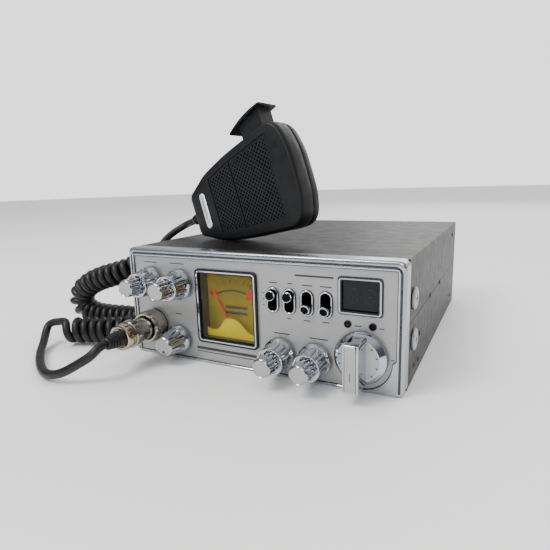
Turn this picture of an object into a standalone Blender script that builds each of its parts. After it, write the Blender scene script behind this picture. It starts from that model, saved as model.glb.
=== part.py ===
"""Compact mobile transceiver with dual controls, a lit meter and a hand microphone on a curly cord.

The design is drawn in millimetres from the case's left front bottom corner: x runs right along
the front, y runs back into the case and z runs up.  Every finished mesh is then scaled to metres
and moved so that the origin is the centre of the case's underside.
"""
import math

import bmesh
import bpy
from mathutils import Vector

# ---------------------------------------------------------------- driving dimensions (mm)
CASE_WIDTH = 152.3
CASE_DEPTH = 179.3
CASE_HEIGHT = 60.0
GAP = 0.3                # clearance between neighbouring pieces
BEZEL_DEPTH = 8.0
COVER_INSET = 0.4        # covers sit this far inside the bezel's outline
SHEET = 1.0              # thickness of the cover sheet
SEAM_HEIGHT = 30.0       # where the two covers meet on the sides

PLATE_LEFT, PLATE_RIGHT = 4.0, 148.6
PLATE_BOTTOM, PLATE_TOP = 1.4, 55.4
PLATE_FRONT, PLATE_BACK = 0.6, 2.6
ARC_CENTRE, ARC_RADIUS = (133.6, 14.8), 13.4

DUAL_CONTROLS = {        # name: (x, z) of the axis
    "volume": (15.1, 41.7),
    "mic_gain": (34.6, 41.5),
    "tone": (93.3, 11.5),
    "dimmer": (111.5, 11.3),
}
DUAL_RADIUS, DUAL_TIP_RADIUS, DUAL_REACH = 8.2, 4.4, 19.6
DUAL_STEP = 11.5         # how far the outer knob of a dual control stands out
CLARIFIER_AXIS, CLARIFIER_RADIUS, CLARIFIER_REACH = (32.0, 10.9), 7.8, 14.0
CHANNEL_AXIS, CHANNEL_RADIUS, CHANNEL_REACH = (133.5, 16.2), 12.0, 16.2
CHANNEL_BAR = (7.2, 22.0)

TOGGLE_X = (90.0, 98.8, 107.7, 116.9)
TOGGLE_Z = 38.2
TOGGLE_SLOT = (6.4, 12.4)
TOGGLE_TILT = (16.0, 16.0, -16.0, -16.0)     # degrees, up is positive
TOGGLE_PIVOT_DEPTH, TOGGLE_REACH = 6.0, 3.0

METER = (45.2, 81.5, 11.5, 50.7)             # left, right, bottom, top of the rim
METER_PIVOT, NEEDLE_LENGTH, NEEDLE_REST = (64.0, 15.4), 25.0, -25.0
NEEDLE_FRONT, DIAL_FRONT = 5.0, 7.0
DISPLAY = (122.7, 142.5, 35.1, 51.9)
LAMPS = {"transmit_lamp": (127.1, 30.6), "warning_lamp": (138.4, 30.6)}

PLUG_AXIS = (15.9, 17.65)
PLUG_END = 27.0          # how far the metal plug stands out from the panel
PLUG_BOOT_END = -36.0
BRACKET_SCREWS = ((18.1, 40.5), (19.9, 20.6))
SPEAKER_CENTRE = (76.15, 56.0)
ANTENNA_AXIS, JACK_AXIS = (118.0, 30.0), (66.0, 22.0)
POWER_OPENING = (28.0, 44.0, 24.0, 36.0)     # left, right, bottom, top

MIC_TURN, MIC_ROLL = -11.4, 18.8             # degrees about z, then about the microphone's face
MIC_CENTRE = (47.9, 45.1)                    # x, y of its reference point
MIC_HALF_DEPTH = 10.5
PRESS_TRAVEL = 3.5

CABLE_DIAMETER = 4.6
COIL_RADIUS = 8.25       # outer radius of the curly stretch
SHAFT_RADIUS = 1.5


# ---------------------------------------------------------------- mesh helpers
def loft(rings):
    """Close a body through rings of equal length; each ring is a list of (a, b, c) points."""
    body = bmesh.new()
    levels = [[body.verts.new(point) for point in ring] for ring in rings]
    count = len(rings[0])
    for lower, upper in zip(levels, levels[1:]):
        for i in range(count):
            j = (i + 1) % count
            body.faces.new((lower[i], lower[j], upper[j], upper[i]))
    body.faces.new(list(reversed(levels[0])))
    body.faces.new(levels[-1])
    bmesh.ops.recalc_face_normals(body, faces=body.faces)
    return body


def prism_y(outline, front, back):
    """Extrude an (x, z) outline along y."""
    return loft([[(x, y, z) for x, z in outline] for y in (front, back)])


def prism_z(outline, bottom, top):
    """Extrude an (x, y) outline along z."""
    return loft([[(x, y, z) for x, y in outline] for z in (bottom, top)])


def block(x0, x1, y0, y1, z0, z1):
    return prism_z([(x0, y0), (x1, y0), (x1, y1), (x0, y1)], z0, z1)


def rounded(x0, x1, z0, z1, radius, steps=4):
    """Outline of a rectangle with round corners."""
    corners = ((x1 - radius, z0 + radius, -90), (x1 - radius, z1 - radius, 0),
               (x0 + radius, z1 - radius, 90), (x0 + radius, z0 + radius, 180))
    points = []
    for cx, cz, start in corners:
        for i in range(steps + 1):
            angle = math.radians(start + 90.0 * i / steps)
            points.append((cx + radius * math.cos(angle), cz + radius * math.sin(angle)))
    return points


def oval(cx, cz, width, height, steps=6):
    """Upright slot outline with round ends."""
    half = height / 2 - width / 2
    points = []
    for start, shift in ((0, half), (180, -half)):
        for i in range(steps + 1):
            angle = math.radians(start + 180.0 * i / steps)
            points.append((cx + width / 2 * math.cos(angle), cz + shift + width / 2 * math.sin(angle)))
    return points


def offset(outline, distance):
    """Grow an anticlockwise outline by a distance, mitred at its corners."""
    grown = []
    for i, point in enumerate(outline):
        before = Vector(outline[i - 1])
        here = Vector(point)
        after = Vector(outline[(i + 1) % len(outline)])
        first = (here - before).normalized()
        second = (after - here).normalized()
        normal = Vector((first.y + second.y, -first.x - second.x)).normalized()
        spread = max(normal.dot(Vector((first.y, -first.x))), 0.5)
        grown.append(tuple(here + normal * distance / spread))
    return grown


def lathe(profile, origin, direction, segments=32, ring=False):
    """Turn (distance, radius) points about an axis; ring=True closes the profile on itself."""
    along = Vector(direction).normalized()
    side = along.orthogonal().normalized()
    other = along.cross(side)
    start = Vector(origin)
    body = bmesh.new()
    rows = []
    for distance, radius in profile:
        centre = start + along * distance
        if radius < 0.001:
            rows.append([body.verts.new(centre)] * segments)
            continue
        rows.append([body.verts.new(centre + (side * math.cos(t) + other * math.sin(t)) * radius)
                     for t in (2 * math.pi * i / segments for i in range(segments))])
    pairs = list(zip(rows, rows[1:]))
    if ring:
        pairs.append((rows[-1], rows[0]))
    for lower, upper in pairs:
        for i in range(segments):
            j = (i + 1) % segments
            corners = [lower[i], lower[j], upper[j], upper[i]]
            body.faces.new(list(dict.fromkeys(corners)))
    if not ring:
        for row in (rows[0], rows[-1]):
            if row[0] is not row[1]:
                body.faces.new(row)
    bmesh.ops.recalc_face_normals(body, faces=body.faces)
    return body


def merged(*bodies):
    """Several separate bodies in one mesh, used as a cutter."""
    whole = bmesh.new()
    for body in bodies:
        piece = bpy.data.meshes.new("piece")
        body.to_mesh(piece)
        body.free()
        whole.from_mesh(piece)
        bpy.data.meshes.remove(piece)
    return whole


# ---------------------------------------------------------------- objects and materials
MATERIALS = {            # name: (colour, roughness, metallic)
    "black_paint": ((0.035, 0.034, 0.036), 0.45, 0.2),
    "zinc_steel": ((0.55, 0.55, 0.53), 0.4, 0.9),
    "silver_trim": ((0.74, 0.75, 0.77), 0.22, 0.9),
    "silver_plate": ((0.66, 0.66, 0.67), 0.4, 0.6),
    "chrome": ((0.82, 0.83, 0.85), 0.08, 1.0),
    "nickel": ((0.72, 0.68, 0.6), 0.2, 1.0),
    "dark_plastic": ((0.02, 0.02, 0.022), 0.5, 0.0),
    "circuit_board": ((0.08, 0.22, 0.1), 0.5, 0.0),
    "meter_face": ((0.75, 0.6, 0.08), 0.5, 0.0),
    "needle_red": ((0.45, 0.04, 0.02), 0.4, 0.0),
    "clear_window": ((0.8, 0.82, 0.8), 0.05, 0.0),
    "smoked_window": ((0.012, 0.013, 0.014), 0.06, 0.0),
    "rubber": ((0.018, 0.018, 0.018), 0.55, 0.0),
    "speaker_cone": ((0.1, 0.09, 0.08), 0.8, 0.0),
}


def surface_material(node_name, kind):
    colour, roughness, metallic = MATERIALS[kind]
    surface = bpy.data.materials.new(node_name + "_" + kind)
    surface.use_nodes = True
    shader = surface.node_tree.nodes["Principled BSDF"]
    shader.inputs["Base Color"].default_value = (*colour, 1.0)
    shader.inputs["Roughness"].default_value = roughness
    shader.inputs["Metallic"].default_value = metallic
    return surface


def to_world(point):
    """Design millimetres to the part's metres."""
    x, y, z = point
    return Vector(((x - CASE_WIDTH / 2) * 0.001, (y - CASE_DEPTH / 2) * 0.001, z * 0.001))


def node(name, body, kind, pivot=None, sharp=35):
    """Make a named object; a moving piece gets its origin at its pivot."""
    origin = to_world(pivot) if pivot is not None else Vector((0, 0, 0))
    for vert in body.verts:
        vert.co = to_world(vert.co) - origin
    mesh = bpy.data.meshes.new(name)
    body.to_mesh(mesh)
    body.free()
    mesh.shade_smooth()
    mesh.set_sharp_from_angle(angle=math.radians(sharp))
    made = bpy.data.objects.new(name, mesh)
    made.location = origin
    made.data.materials.append(surface_material(name, kind))
    bpy.context.scene.collection.objects.link(made)
    return made


def shape(target, body, operation):
    """Cut a body from a node, or join it on, with an exact Boolean."""
    for vert in body.verts:
        vert.co = to_world(vert.co)
    label = target.name + "_" + operation.lower() + str(len(target.modifiers))
    mesh = bpy.data.meshes.new(label)
    body.to_mesh(mesh)
    body.free()
    tool = bpy.data.objects.new(label, mesh)
    tool.hide_render = True
    tool.display_type = "WIRE"
    bpy.context.scene.collection.objects.link(tool)
    step = target.modifiers.new(operation.lower(), "BOOLEAN")
    step.operation = operation
    step.solver = "EXACT"
    step.object = tool
    return target


def cut(target, body):
    return shape(target, body, "DIFFERENCE")


def join(target, body):
    return shape(target, body, "UNION")


# ---------------------------------------------------------------- case
def plate_outline():
    """Face plate outline: straight sides, and an arc about the channel selector."""
    points = [(PLATE_LEFT, PLATE_BOTTOM)]
    for i in range(9):
        angle = math.radians(-90 + 90 * i / 8)
        points.append((ARC_CENTRE[0] + ARC_RADIUS * math.cos(angle),
                       ARC_CENTRE[1] + ARC_RADIUS * math.sin(angle)))
    points += [(PLATE_RIGHT, ARC_CENTRE[1] + 1.6), (PLATE_RIGHT, PLATE_TOP), (PLATE_LEFT, PLATE_TOP)]
    return points


def front_bezel():
    full = rounded(0.0, CASE_WIDTH, 0.0, CASE_HEIGHT, 3.0)
    edge = rounded(1.2, CASE_WIDTH - 1.2, 0.25, CASE_HEIGHT - 1.2, 2.2)
    made = node("front_bezel", loft([
        [(x, 0.0, z) for x, z in edge],
        [(x, 1.4, z) for x, z in full],
        [(x, BEZEL_DEPTH, z) for x, z in full]]), "silver_trim")
    cut(made, prism_y(offset(plate_outline(), GAP), -1.0, PLATE_BACK + GAP))
    inner = rounded(PLATE_LEFT + 2.5, CASE_WIDTH - 7.5, 3.6, CASE_HEIGHT - 6.5, 2.0)
    cut(made, prism_y(inner, PLATE_BACK - 0.5, BEZEL_DEPTH + 1.0))


def face_plate():
    made = node("face_plate", prism_y(plate_outline(), PLATE_FRONT, PLATE_BACK), "silver_plate")
    holes = []
    front, back = PLATE_FRONT - 1.0, PLATE_BACK + 1.0
    span = back - front
    for x, z in list(DUAL_CONTROLS.values()) + [CLARIFIER_AXIS, CHANNEL_AXIS]:
        holes.append(lathe([(0, 4.0), (span, 4.0)], (x, front, z), (0, 1, 0), 20))
    holes.append(lathe([(0, 8.3), (span, 8.3)], (PLUG_AXIS[0], front, PLUG_AXIS[1]), (0, 1, 0), 28))
    for x in TOGGLE_X:
        holes.append(prism_y(oval(x, TOGGLE_Z, TOGGLE_SLOT[0] - 0.4, TOGGLE_SLOT[1] - 0.4), front, back))
    for x, z in LAMPS.values():
        holes.append(lathe([(0, 1.7), (span, 1.7)], (x, front, z), (0, 1, 0), 12))
    for left, right, bottom, top in (METER, DISPLAY):
        holes.append(prism_y(rounded(left + 0.9, right - 0.9, bottom + 0.9, top - 0.9, 1.0, 2), front, back))
    cut(made, merged(*holes))


def cover_section(outer_z, flange_end, left, right):
    """U-shaped sheet section: a flat web at outer_z and two flanges down to flange_end."""
    inward = -1.0 if outer_z > flange_end else 1.0
    outside = [(left, flange_end), (left, outer_z), (right, outer_z), (right, flange_end)]
    inside = [(right - SHEET, flange_end), (right - SHEET, outer_z + inward * SHEET),
              (left + SHEET, outer_z + inward * SHEET), (left + SHEET, flange_end)]
    return outside + inside


COVER_LEFT, COVER_RIGHT = COVER_INSET, CASE_WIDTH - COVER_INSET
COVER_FRONT = BEZEL_DEPTH + GAP
COVER_TOP = CASE_HEIGHT - COVER_INSET


def top_cover():
    section = cover_section(COVER_TOP, SEAM_HEIGHT + GAP / 2, COVER_LEFT, COVER_RIGHT)
    made = node("top_cover", prism_y(section, COVER_FRONT, CASE_DEPTH), "black_paint")
    y, z = BRACKET_SCREWS[0]
    cut(made, lathe([(0, 2.3), (CASE_WIDTH + 4, 2.3)], (-2, y, z), (1, 0, 0), 16))


def bottom_cover():
    section = cover_section(0.0, SEAM_HEIGHT - GAP / 2, COVER_LEFT, COVER_RIGHT)
    made = node("bottom_cover", prism_y(section, COVER_FRONT, CASE_DEPTH), "black_paint")
    slots = []
    x, middle = SPEAKER_CENTRE
    for row in range(-4, 5):
        y = middle + 5.0 * row
        half = math.sqrt(27.0 ** 2 - (y - middle) ** 2)
        slots.append(block(x - half, x + half, y - 1.0, y + 1.0, -1.0, SHEET + 1.0))
    cut(made, merged(*slots))
    y, z = BRACKET_SCREWS[1]
    cut(made, lathe([(0, 2.3), (CASE_WIDTH + 4, 2.3)], (-2, y, z), (1, 0, 0), 16))


def bracket_screws():
    """Flat round-headed screws for the mounting bracket, two on each side."""
    for side, x, direction in (("left", COVER_LEFT, 1), ("right", COVER_RIGHT, -1)):
        for level, (y, z) in zip(("upper", "lower"), BRACKET_SCREWS):
            profile = [(-1.6, 4.4), (-1.0, 5.2), (-GAP, 5.2), (-GAP, 2.0), (6.0, 2.0)]
            node(level + "_" + side + "_bracket_screw",
                 lathe(profile, (x, y, z), (direction, 0, 0), 24), "chrome")


CHASSIS_FRONT, CHASSIS_BACK = 21.0, 162.0
REAR_PANEL_FRONT = 174.2
CHASSIS_SIDE = SHEET + COVER_INSET + 7.0


def chassis_frame():
    outer = [(CHASSIS_SIDE, CHASSIS_FRONT), (CASE_WIDTH - CHASSIS_SIDE, CHASSIS_FRONT),
             (CASE_WIDTH - CHASSIS_SIDE, CHASSIS_BACK), (CHASSIS_SIDE, CHASSIS_BACK)]
    made = node("chassis_frame", prism_z(outer, 18.0, 52.0), "zinc_steel")
    cut(made, prism_z(offset(outer, -1.2), 17.0, 53.0))


def rear_panel():
    """Thick rear panel that takes the sockets and the power devices' heat."""
    side = COVER_LEFT + SHEET + GAP
    made = node("rear_panel", block(side, CASE_WIDTH - side, REAR_PANEL_FRONT, CASE_DEPTH - 0.5,
                                    SHEET + GAP, COVER_TOP - SHEET - GAP), "zinc_steel")
    front = 170.0
    left, right, bottom, top = POWER_OPENING
    through = [lathe([(0, 6.6), (12, 6.6)], (ANTENNA_AXIS[0], front, ANTENNA_AXIS[1]), (0, 1, 0), 24),
               block(left - GAP, right + GAP, front, front + 12.0, bottom - GAP, top + GAP),
               lathe([(0, 3.4), (12, 3.4)], (JACK_AXIS[0], front, JACK_AXIS[1]), (0, 1, 0), 20)]
    cut(made, merged(*through))


def rear_sockets():
    base = CASE_DEPTH - 0.5
    node("antenna_socket", lathe(
        [(-10.0, 6.2), (GAP, 6.2), (GAP, 9.0), (2.0, 9.0), (2.0, 7.8), (13.0, 7.8),
         (13.0, 5.6), (2.5, 5.6), (2.5, 2.4), (-8.0, 2.4), (-8.0, 1.2), (-10.0, 1.2)],
        (ANTENNA_AXIS[0], base, ANTENNA_AXIS[1]), (0, 1, 0), 28, ring=True), "nickel")
    left, right, bottom, top = POWER_OPENING
    socket = node("power_socket", block(left, right, 166.0, base + 3.0, bottom, top), "dark_plastic")
    cut(socket, block(left + 2.0, right - 2.0, 171.0, base + 5.0, bottom + 2.0, top - 2.0))
    node("speaker_jack", lathe(
        [(-8.0, 3.0), (GAP, 3.0), (GAP, 4.6), (1.6, 4.6), (1.6, 1.8), (-7.0, 1.8), (-7.0, 0.8), (-8.0, 0.8)],
        (JACK_AXIS[0], base, JACK_AXIS[1]), (0, 1, 0), 20, ring=True), "nickel")


# ---------------------------------------------------------------- inside the case
BOARD_FRONT, BOARD_BACK = 18.0, 19.6


def circuit_boards():
    node("front_board", block(10.0, 142.0, BOARD_FRONT, BOARD_BACK, 4.0, 53.0), "circuit_board")
    node("main_board", block(CHASSIS_SIDE + 1.6, CASE_WIDTH - CHASSIS_SIDE - 1.6, CHASSIS_FRONT + 2.0,
                             CHASSIS_BACK - 3.0, 38.0, 39.6), "circuit_board")


def speaker():
    """Loudspeaker behind the slots, with a dished cone and a round magnet."""
    base = (*SPEAKER_CENTRE, SHEET + GAP)
    outer = [(0.0, 31.5), (2.0, 31.5), (9.0, 18.0), (10.0, 14.0), (15.0, 14.0)]
    made = node("speaker", lathe(outer, base, (0, 0, 1), 32), "speaker_cone")
    cone = [(-1.0, 28.0), (0.8, 27.0), (6.5, 7.0), (5.5, 0.0)]
    cut(made, lathe(cone, base, (0, 0, 1), 32))


def control_pot(name, axis, bore):
    """Potentiometer can with a threaded bush whose bore takes the knob's shaft."""
    x, z = axis
    made = node(name, lathe([(0.0, 3.6), (3.6, 3.6), (3.6, 7.2), (BOARD_FRONT - GAP, 7.2)],
                            (x, 0.0, z), (0, 1, 0), 24), "zinc_steel")
    cut(made, lathe([(-1.0, bore + GAP), (12.0, bore + GAP)], (x, 0.0, z), (0, 1, 0), 16))


def outer_knob(name, axis):
    """Wide lower knob of a dual control, bored for the inner knob's shaft."""
    x, z = axis
    profile = [(-0.8, DUAL_RADIUS), (-2.4, DUAL_RADIUS), (-3.4, 7.3), (-10.5, 6.8), (-DUAL_STEP, 6.2),
               (-DUAL_STEP, SHAFT_RADIUS + GAP), (8.0, SHAFT_RADIUS + GAP), (8.0, 3.0), (-0.8, 3.0)]
    node(name, lathe(profile, (x, 0.0, z), (0, 1, 0), 28, ring=True), "chrome", pivot=(x, 0.0, z))


def inner_knob(name, axis):
    x, z = axis
    tip = -DUAL_REACH
    profile = [(10.0, SHAFT_RADIUS), (-DUAL_STEP - GAP, SHAFT_RADIUS), (-DUAL_STEP - GAP, 5.0),
               (tip + 0.7, DUAL_TIP_RADIUS + 0.1), (tip, DUAL_TIP_RADIUS - 0.5)]
    node(name, lathe(profile, (x, 0.0, z), (0, 1, 0), 24), "chrome", pivot=(x, 0.0, z))


def controls():
    for name, axis in DUAL_CONTROLS.items():
        control_pot(name + "_potentiometer", axis, 3.0)
        outer_knob(name + "_outer_knob", axis)
        inner_knob(name + "_inner_knob", axis)
    control_pot("clarifier_potentiometer", CLARIFIER_AXIS, 3.0)
    x, z = CLARIFIER_AXIS
    profile = [(8.0, 3.0), (-0.8, 3.0), (-0.8, CLARIFIER_RADIUS), (-2.8, CLARIFIER_RADIUS),
               (-4.0, CLARIFIER_RADIUS - 1.1), (-5.0, 6.6), (1.0 - CLARIFIER_REACH, 5.3),
               (-CLARIFIER_REACH, 4.8)]
    node("clarifier_knob", lathe(profile, (x, 0.0, z), (0, 1, 0), 28), "chrome", pivot=(x, 0.0, z))


def channel_selector():
    x, z = CHANNEL_AXIS
    switch = node("channel_switch", lathe([(0.0, 3.6), (3.6, 3.6), (3.6, 11.0), (BOARD_FRONT - GAP, 11.0)],
                                          (x, 0.0, z), (0, 1, 0), 28), "zinc_steel")
    cut(switch, lathe([(-1.0, 3.3), (12.0, 3.3)], (x, 0.0, z), (0, 1, 0), 16))
    profile = [(8.0, 3.0), (-0.8, 3.0), (-0.8, CHANNEL_RADIUS), (-2.4, CHANNEL_RADIUS),
               (-4.8, CHANNEL_RADIUS - 2.2), (-5.2, CHANNEL_RADIUS - 3.0)]
    knob = node("channel_knob", lathe(profile, (x, 0.0, z), (0, 1, 0), 32), "chrome", pivot=(x, 0.0, z))
    half_width, half_height = CHANNEL_BAR[0] / 2, CHANNEL_BAR[1] / 2
    bar = rounded(x - half_width, x + half_width, z - half_height, z + half_height, 0.7, 2)
    tip = offset(bar, -0.5)
    join(knob, loft([[(a, -CHANNEL_REACH, b) for a, b in tip], [(a, 0.6 - CHANNEL_REACH, b) for a, b in bar],
                     [(a, -4.0, b) for a, b in bar]]))


def toggle_switches():
    width, height = TOGGLE_SLOT
    for number, (x, tilt) in enumerate(zip(TOGGLE_X, TOGGLE_TILT), start=1):
        rim = oval(x, TOGGLE_Z, width, height)
        neck = oval(x, TOGGLE_Z, width - 1.0, height - 1.0)
        inside = oval(x, TOGGLE_Z, width - 1.6, height - 1.4)
        switch = node(f"toggle_switch_{number}", loft([
            [(a, -0.3, b) for a, b in rim], [(a, PLATE_FRONT - GAP, b) for a, b in rim],
            [(a, PLATE_FRONT - GAP, b) for a, b in neck], [(a, BOARD_FRONT - 4.0, b) for a, b in neck]]),
            "dark_plastic")
        cut(switch, prism_y(inside, -1.0, 10.0))
        angle = math.radians(tilt)
        pivot = (x, TOGGLE_PIVOT_DEPTH, TOGGLE_Z)
        along = (0, -math.cos(angle), math.sin(angle))
        reach = (TOGGLE_PIVOT_DEPTH + TOGGLE_REACH) / math.cos(angle)
        profile = [(-1.6, 0.0), (-1.2, 1.2), (0.0, 1.6), (1.5, 1.2), (reach - 4.0, 1.9), (reach - 0.5, 2.25),
                   (reach, 1.9)]
        node(f"toggle_lever_{number}", lathe(profile, pivot, along, 16), "chrome", pivot=pivot)


def meter():
    left, right, bottom, top = METER
    rim = rounded(left, right, bottom, top, 2.2, 3)
    neck = rounded(left + 1.2, right - 1.2, bottom + 1.2, top - 1.2, 1.0, 3)
    case = node("meter_case", loft([
        [(x, -0.7, z) for x, z in rim], [(x, PLATE_FRONT - GAP, z) for x, z in rim],
        [(x, PLATE_FRONT - GAP, z) for x, z in neck], [(x, BOARD_FRONT - GAP, z) for x, z in neck]]),
        "dark_plastic")
    cavity = rounded(left + 2.2, right - 2.2, bottom + 2.2, top - 2.2, 0.8, 2)
    cut(case, prism_y(cavity, -2.0, DIAL_FRONT + 2.0))
    sheet = offset(cavity, -GAP)
    node("meter_window", prism_y(sheet, 0.0, 1.2), "clear_window")
    node("meter_dial", prism_y(sheet, DIAL_FRONT, DIAL_FRONT + 1.0), "meter_face")
    x, z = METER_PIVOT
    pivot = (x, NEEDLE_FRONT, z)
    angle = math.radians(90 - NEEDLE_REST)
    tip = Vector((math.cos(angle), math.sin(angle)))
    side = Vector((-tip.y, tip.x))
    base = Vector(METER_PIVOT)
    end = base + tip * NEEDLE_LENGTH
    tail = base - tip * 1.2
    outline = [base + side * 0.8, tail + side * 0.6, tail - side * 0.6,
               base - side * 0.8, end - side * 0.25, end + side * 0.25]
    node("meter_needle", prism_y([tuple(p) for p in outline], NEEDLE_FRONT, NEEDLE_FRONT + 0.5), "needle_red", pivot=pivot)


def display():
    left, right, bottom, top = DISPLAY
    rim = rounded(left, right, bottom, top, 1.5, 3)
    neck = rounded(left + 1.2, right - 1.2, bottom + 1.2, top - 1.2, 0.8, 3)
    window = node("display_window", loft([
        [(x, -0.3, z) for x, z in rim], [(x, PLATE_FRONT - GAP, z) for x, z in rim],
        [(x, PLATE_FRONT - GAP, z) for x, z in neck], [(x, 3.4, z) for x, z in neck]]), "smoked_window")
    cut(window, prism_y(rounded(left + 1.8, right - 1.8, bottom + 1.8, top - 1.8, 0.5, 3), -1.0, 1.0))
    node("display_module", block(left, right, 3.7, 14.0, bottom, top), "dark_plastic")
    for name, (x, z) in LAMPS.items():
        node(name, lathe([(-0.3, 0.8), (0.3, 1.4), (9.0, 1.4)], (x, 0.0, z), (0, 1, 0), 16), "smoked_window")


# ---------------------------------------------------------------- microphone connector
def mic_connector():
    x, z = PLUG_AXIS
    node("mic_socket", lathe([(-0.5, 8.0), (BOARD_FRONT - GAP, 8.0), (BOARD_FRONT - GAP, 5.9), (3.0, 5.9),
                              (-0.5, 6.8)], (x, 0.0, z), (0, 1, 0), 24, ring=True), "nickel")
    barrel = [(-8.3, 5.6), (-9.2, 6.6), (-17.0, 6.6), (-17.0, 7.3), (-21.6, 7.3), (-22.0, 6.2), (-22.6, 6.2),
              (-23.0, 6.7), (-PLUG_END + 0.5, 6.7), (-PLUG_END, 6.2)]
    core = [(1.5, 5.4), (-8.3, 5.4)]
    node("mic_plug", lathe(core + barrel, (x, 0.0, z), (0, 1, 0), 24), "nickel")
    ring = [(-0.9, 6.0), (-0.9, 8.7), (-7.6, 8.7), (-8.8, 8.0), (-8.8, 7.0), (-8.0, 6.0)]
    node("coupling_ring", lathe(ring, (x, 0.0, z), (0, 1, 0), 28, ring=True), "nickel", pivot=(x, 0.0, z))
    boot = [(-PLUG_END - GAP, 4.3), (-PLUG_END - 5.0, 4.0), (PLUG_BOOT_END, 3.0)]
    node("plug_boot", lathe(boot, (x, 0.0, z), (0, 1, 0), 20), "rubber")


# ---------------------------------------------------------------- cord
def smooth_route(points, step):
    """Points along a Catmull-Rom curve through the route's own points, evenly spaced."""
    knots = [Vector(p) for p in points]
    ends = [knots[0] * 2 - knots[1]] + knots + [knots[-1] * 2 - knots[-2]]
    fine = []
    for i in range(1, len(ends) - 2):
        a, b, c, d = ends[i - 1:i + 3]
        for k in range(24):
            t = k / 24
            fine.append(0.5 * ((2 * b) + (c - a) * t + (2 * a - 5 * b + 4 * c - d) * t * t
                               + (3 * b - a - 3 * c + d) * t ** 3))
    fine.append(knots[-1])
    total = sum((q - p).length for p, q in zip(fine, fine[1:]))
    count = max(2, round(total / step))
    spaced, walked, index = [fine[0]], 0.0, 0
    for k in range(1, count):
        target = total * k / count
        while walked + (fine[index + 1] - fine[index]).length < target:
            walked += (fine[index + 1] - fine[index]).length
            index += 1
        ratio = (target - walked) / (fine[index + 1] - fine[index]).length
        spaced.append(fine[index].lerp(fine[index + 1], ratio))
    return spaced + [fine[-1]]


def tube(name, points, radius, kind, resolution=2):
    """Round tube along a route, as a filled curve."""
    curve = bpy.data.curves.new(name, "CURVE")
    curve.dimensions = "3D"
    curve.bevel_depth = radius * 0.001
    curve.bevel_resolution = resolution
    curve.render_resolution_u = 0
    curve.use_fill_caps = True
    line = curve.splines.new("POLY")
    line.points.add(len(points) - 1)
    for spot, point in zip(line.points, points):
        spot.co = (*to_world(point), 1.0)
    made = bpy.data.objects.new(name, curve)
    curve.materials.append(surface_material(name, kind))
    bpy.context.scene.collection.objects.link(made)


COIL_ROUTE = [
    (-14.5, 34.0, 48.5), (-17.0, 29.6, 45.4), (-24.0, 24.5, 41.6), (-33.0, 21.4, 38.6), (-42.5, 20.0, 36.0),
    (-53.0, 19.0, 32.0), (-61.5, 18.6, 26.4), (-65.5, 19.0, 19.5), (-62.5, 20.5, 12.4), (-54.0, 22.5, 9.2),
    (-44.0, 24.0, 8.6), (-32.0, 25.6, 8.6), (-21.0, 26.0, 8.6), (-13.0, 22.5, 8.8), (-9.6, 14.6, 9.0),
    (-12.6, 6.6, 8.8), (-20.0, 2.0, 8.6), (-29.0, -1.2, 8.6), (-38.0, -5.2, 8.6), (-48.0, -10.0, 8.6)]
MIC_LEAD_ROUTE = [(-1.5, 56.2, 67.4), (-6.4, 53.4, 64.4), (-10.0, 48.4, 60.8), (-12.0, 42.8, 56.4)]
PLUG_LEAD_ROUTE = [
    (14.4, -43.6, 14.4), (7.5, -47.0, 9.8), (-1.0, -50.0, 5.2), (-11.0, -50.2, 3.0), (-22.0, -45.5, 2.6),
    (-33.0, -38.5, 2.6), (-44.0, -30.0, 2.8), (-52.0, -22.0, 4.6), (-57.0, -16.0, 8.8), (-57.5, -12.9, 12.6)]


def outward(route):
    """Direction in which a cord leaves the first point of a route."""
    return (Vector(route[0]) - Vector(route[1])).normalized()


def cord():
    radius = CABLE_DIAMETER / 2
    tube("curly_cord", smooth_route(COIL_ROUTE, 4.2), COIL_RADIUS, "rubber", 3)
    near_coil = [Vector(COIL_ROUTE[0]) + outward(COIL_ROUTE) * reach for reach in (7.0, 3.0, GAP + 0.1)]
    lead = [mic_point(MIC_BOOT_END - reach, 0.0, 0.0) for reach in (2 * GAP, 4.0)] + MIC_LEAD_ROUTE + near_coil
    tube("microphone_lead", smooth_route(lead, 7.0), radius, "rubber")
    coil_end = list(reversed(COIL_ROUTE))
    on_rim = Vector(coil_end[0]) + outward(coil_end) * 1.2 + Vector((0.0, 0.0, COIL_RADIUS - radius - 0.3))
    leaving_plug = [(PLUG_AXIS[0], PLUG_BOOT_END - reach, PLUG_AXIS[1]) for reach in (3 * GAP, 4.5)]
    tube("plug_lead", smooth_route(leaving_plug + PLUG_LEAD_ROUTE + [on_rim], 6.0), radius, "rubber")


# ---------------------------------------------------------------- microphone
# Its own axes: u from the cord end to the round end, v across towards the press bar, w out of the grille.
MIC_LENGTH_AXIS = Vector((math.cos(math.radians(MIC_ROLL)) * math.cos(math.radians(MIC_TURN)),
                          math.cos(math.radians(MIC_ROLL)) * math.sin(math.radians(MIC_TURN)),
                          math.sin(math.radians(MIC_ROLL))))
MIC_FACE_AXIS = Vector((math.sin(math.radians(MIC_TURN)), -math.cos(math.radians(MIC_TURN)), 0.0))
MIC_WIDTH_AXIS = MIC_FACE_AXIS.cross(MIC_LENGTH_AXIS)
MIC_HALF_OUTLINE = [(-31.9, 10.6), (-30.4, 13.4), (-22.4, 17.2), (-13.9, 20.9), (4.0, 24.7), (22.0, 26.9),
                    (34.6, 28.4), (40.6, 27.9), (45.0, 23.8), (47.4, 16.7), (48.6, 8.4)]
MIC_BOOT_END = -43.9


def mic_outline(inset):
    """Anticlockwise (u, v) outline of the microphone body, drawn in by a distance."""
    lower = [(u, -v) for u, v in MIC_HALF_OUTLINE]
    upper = list(reversed(MIC_HALF_OUTLINE))
    return offset(lower + upper, -inset)


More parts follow.
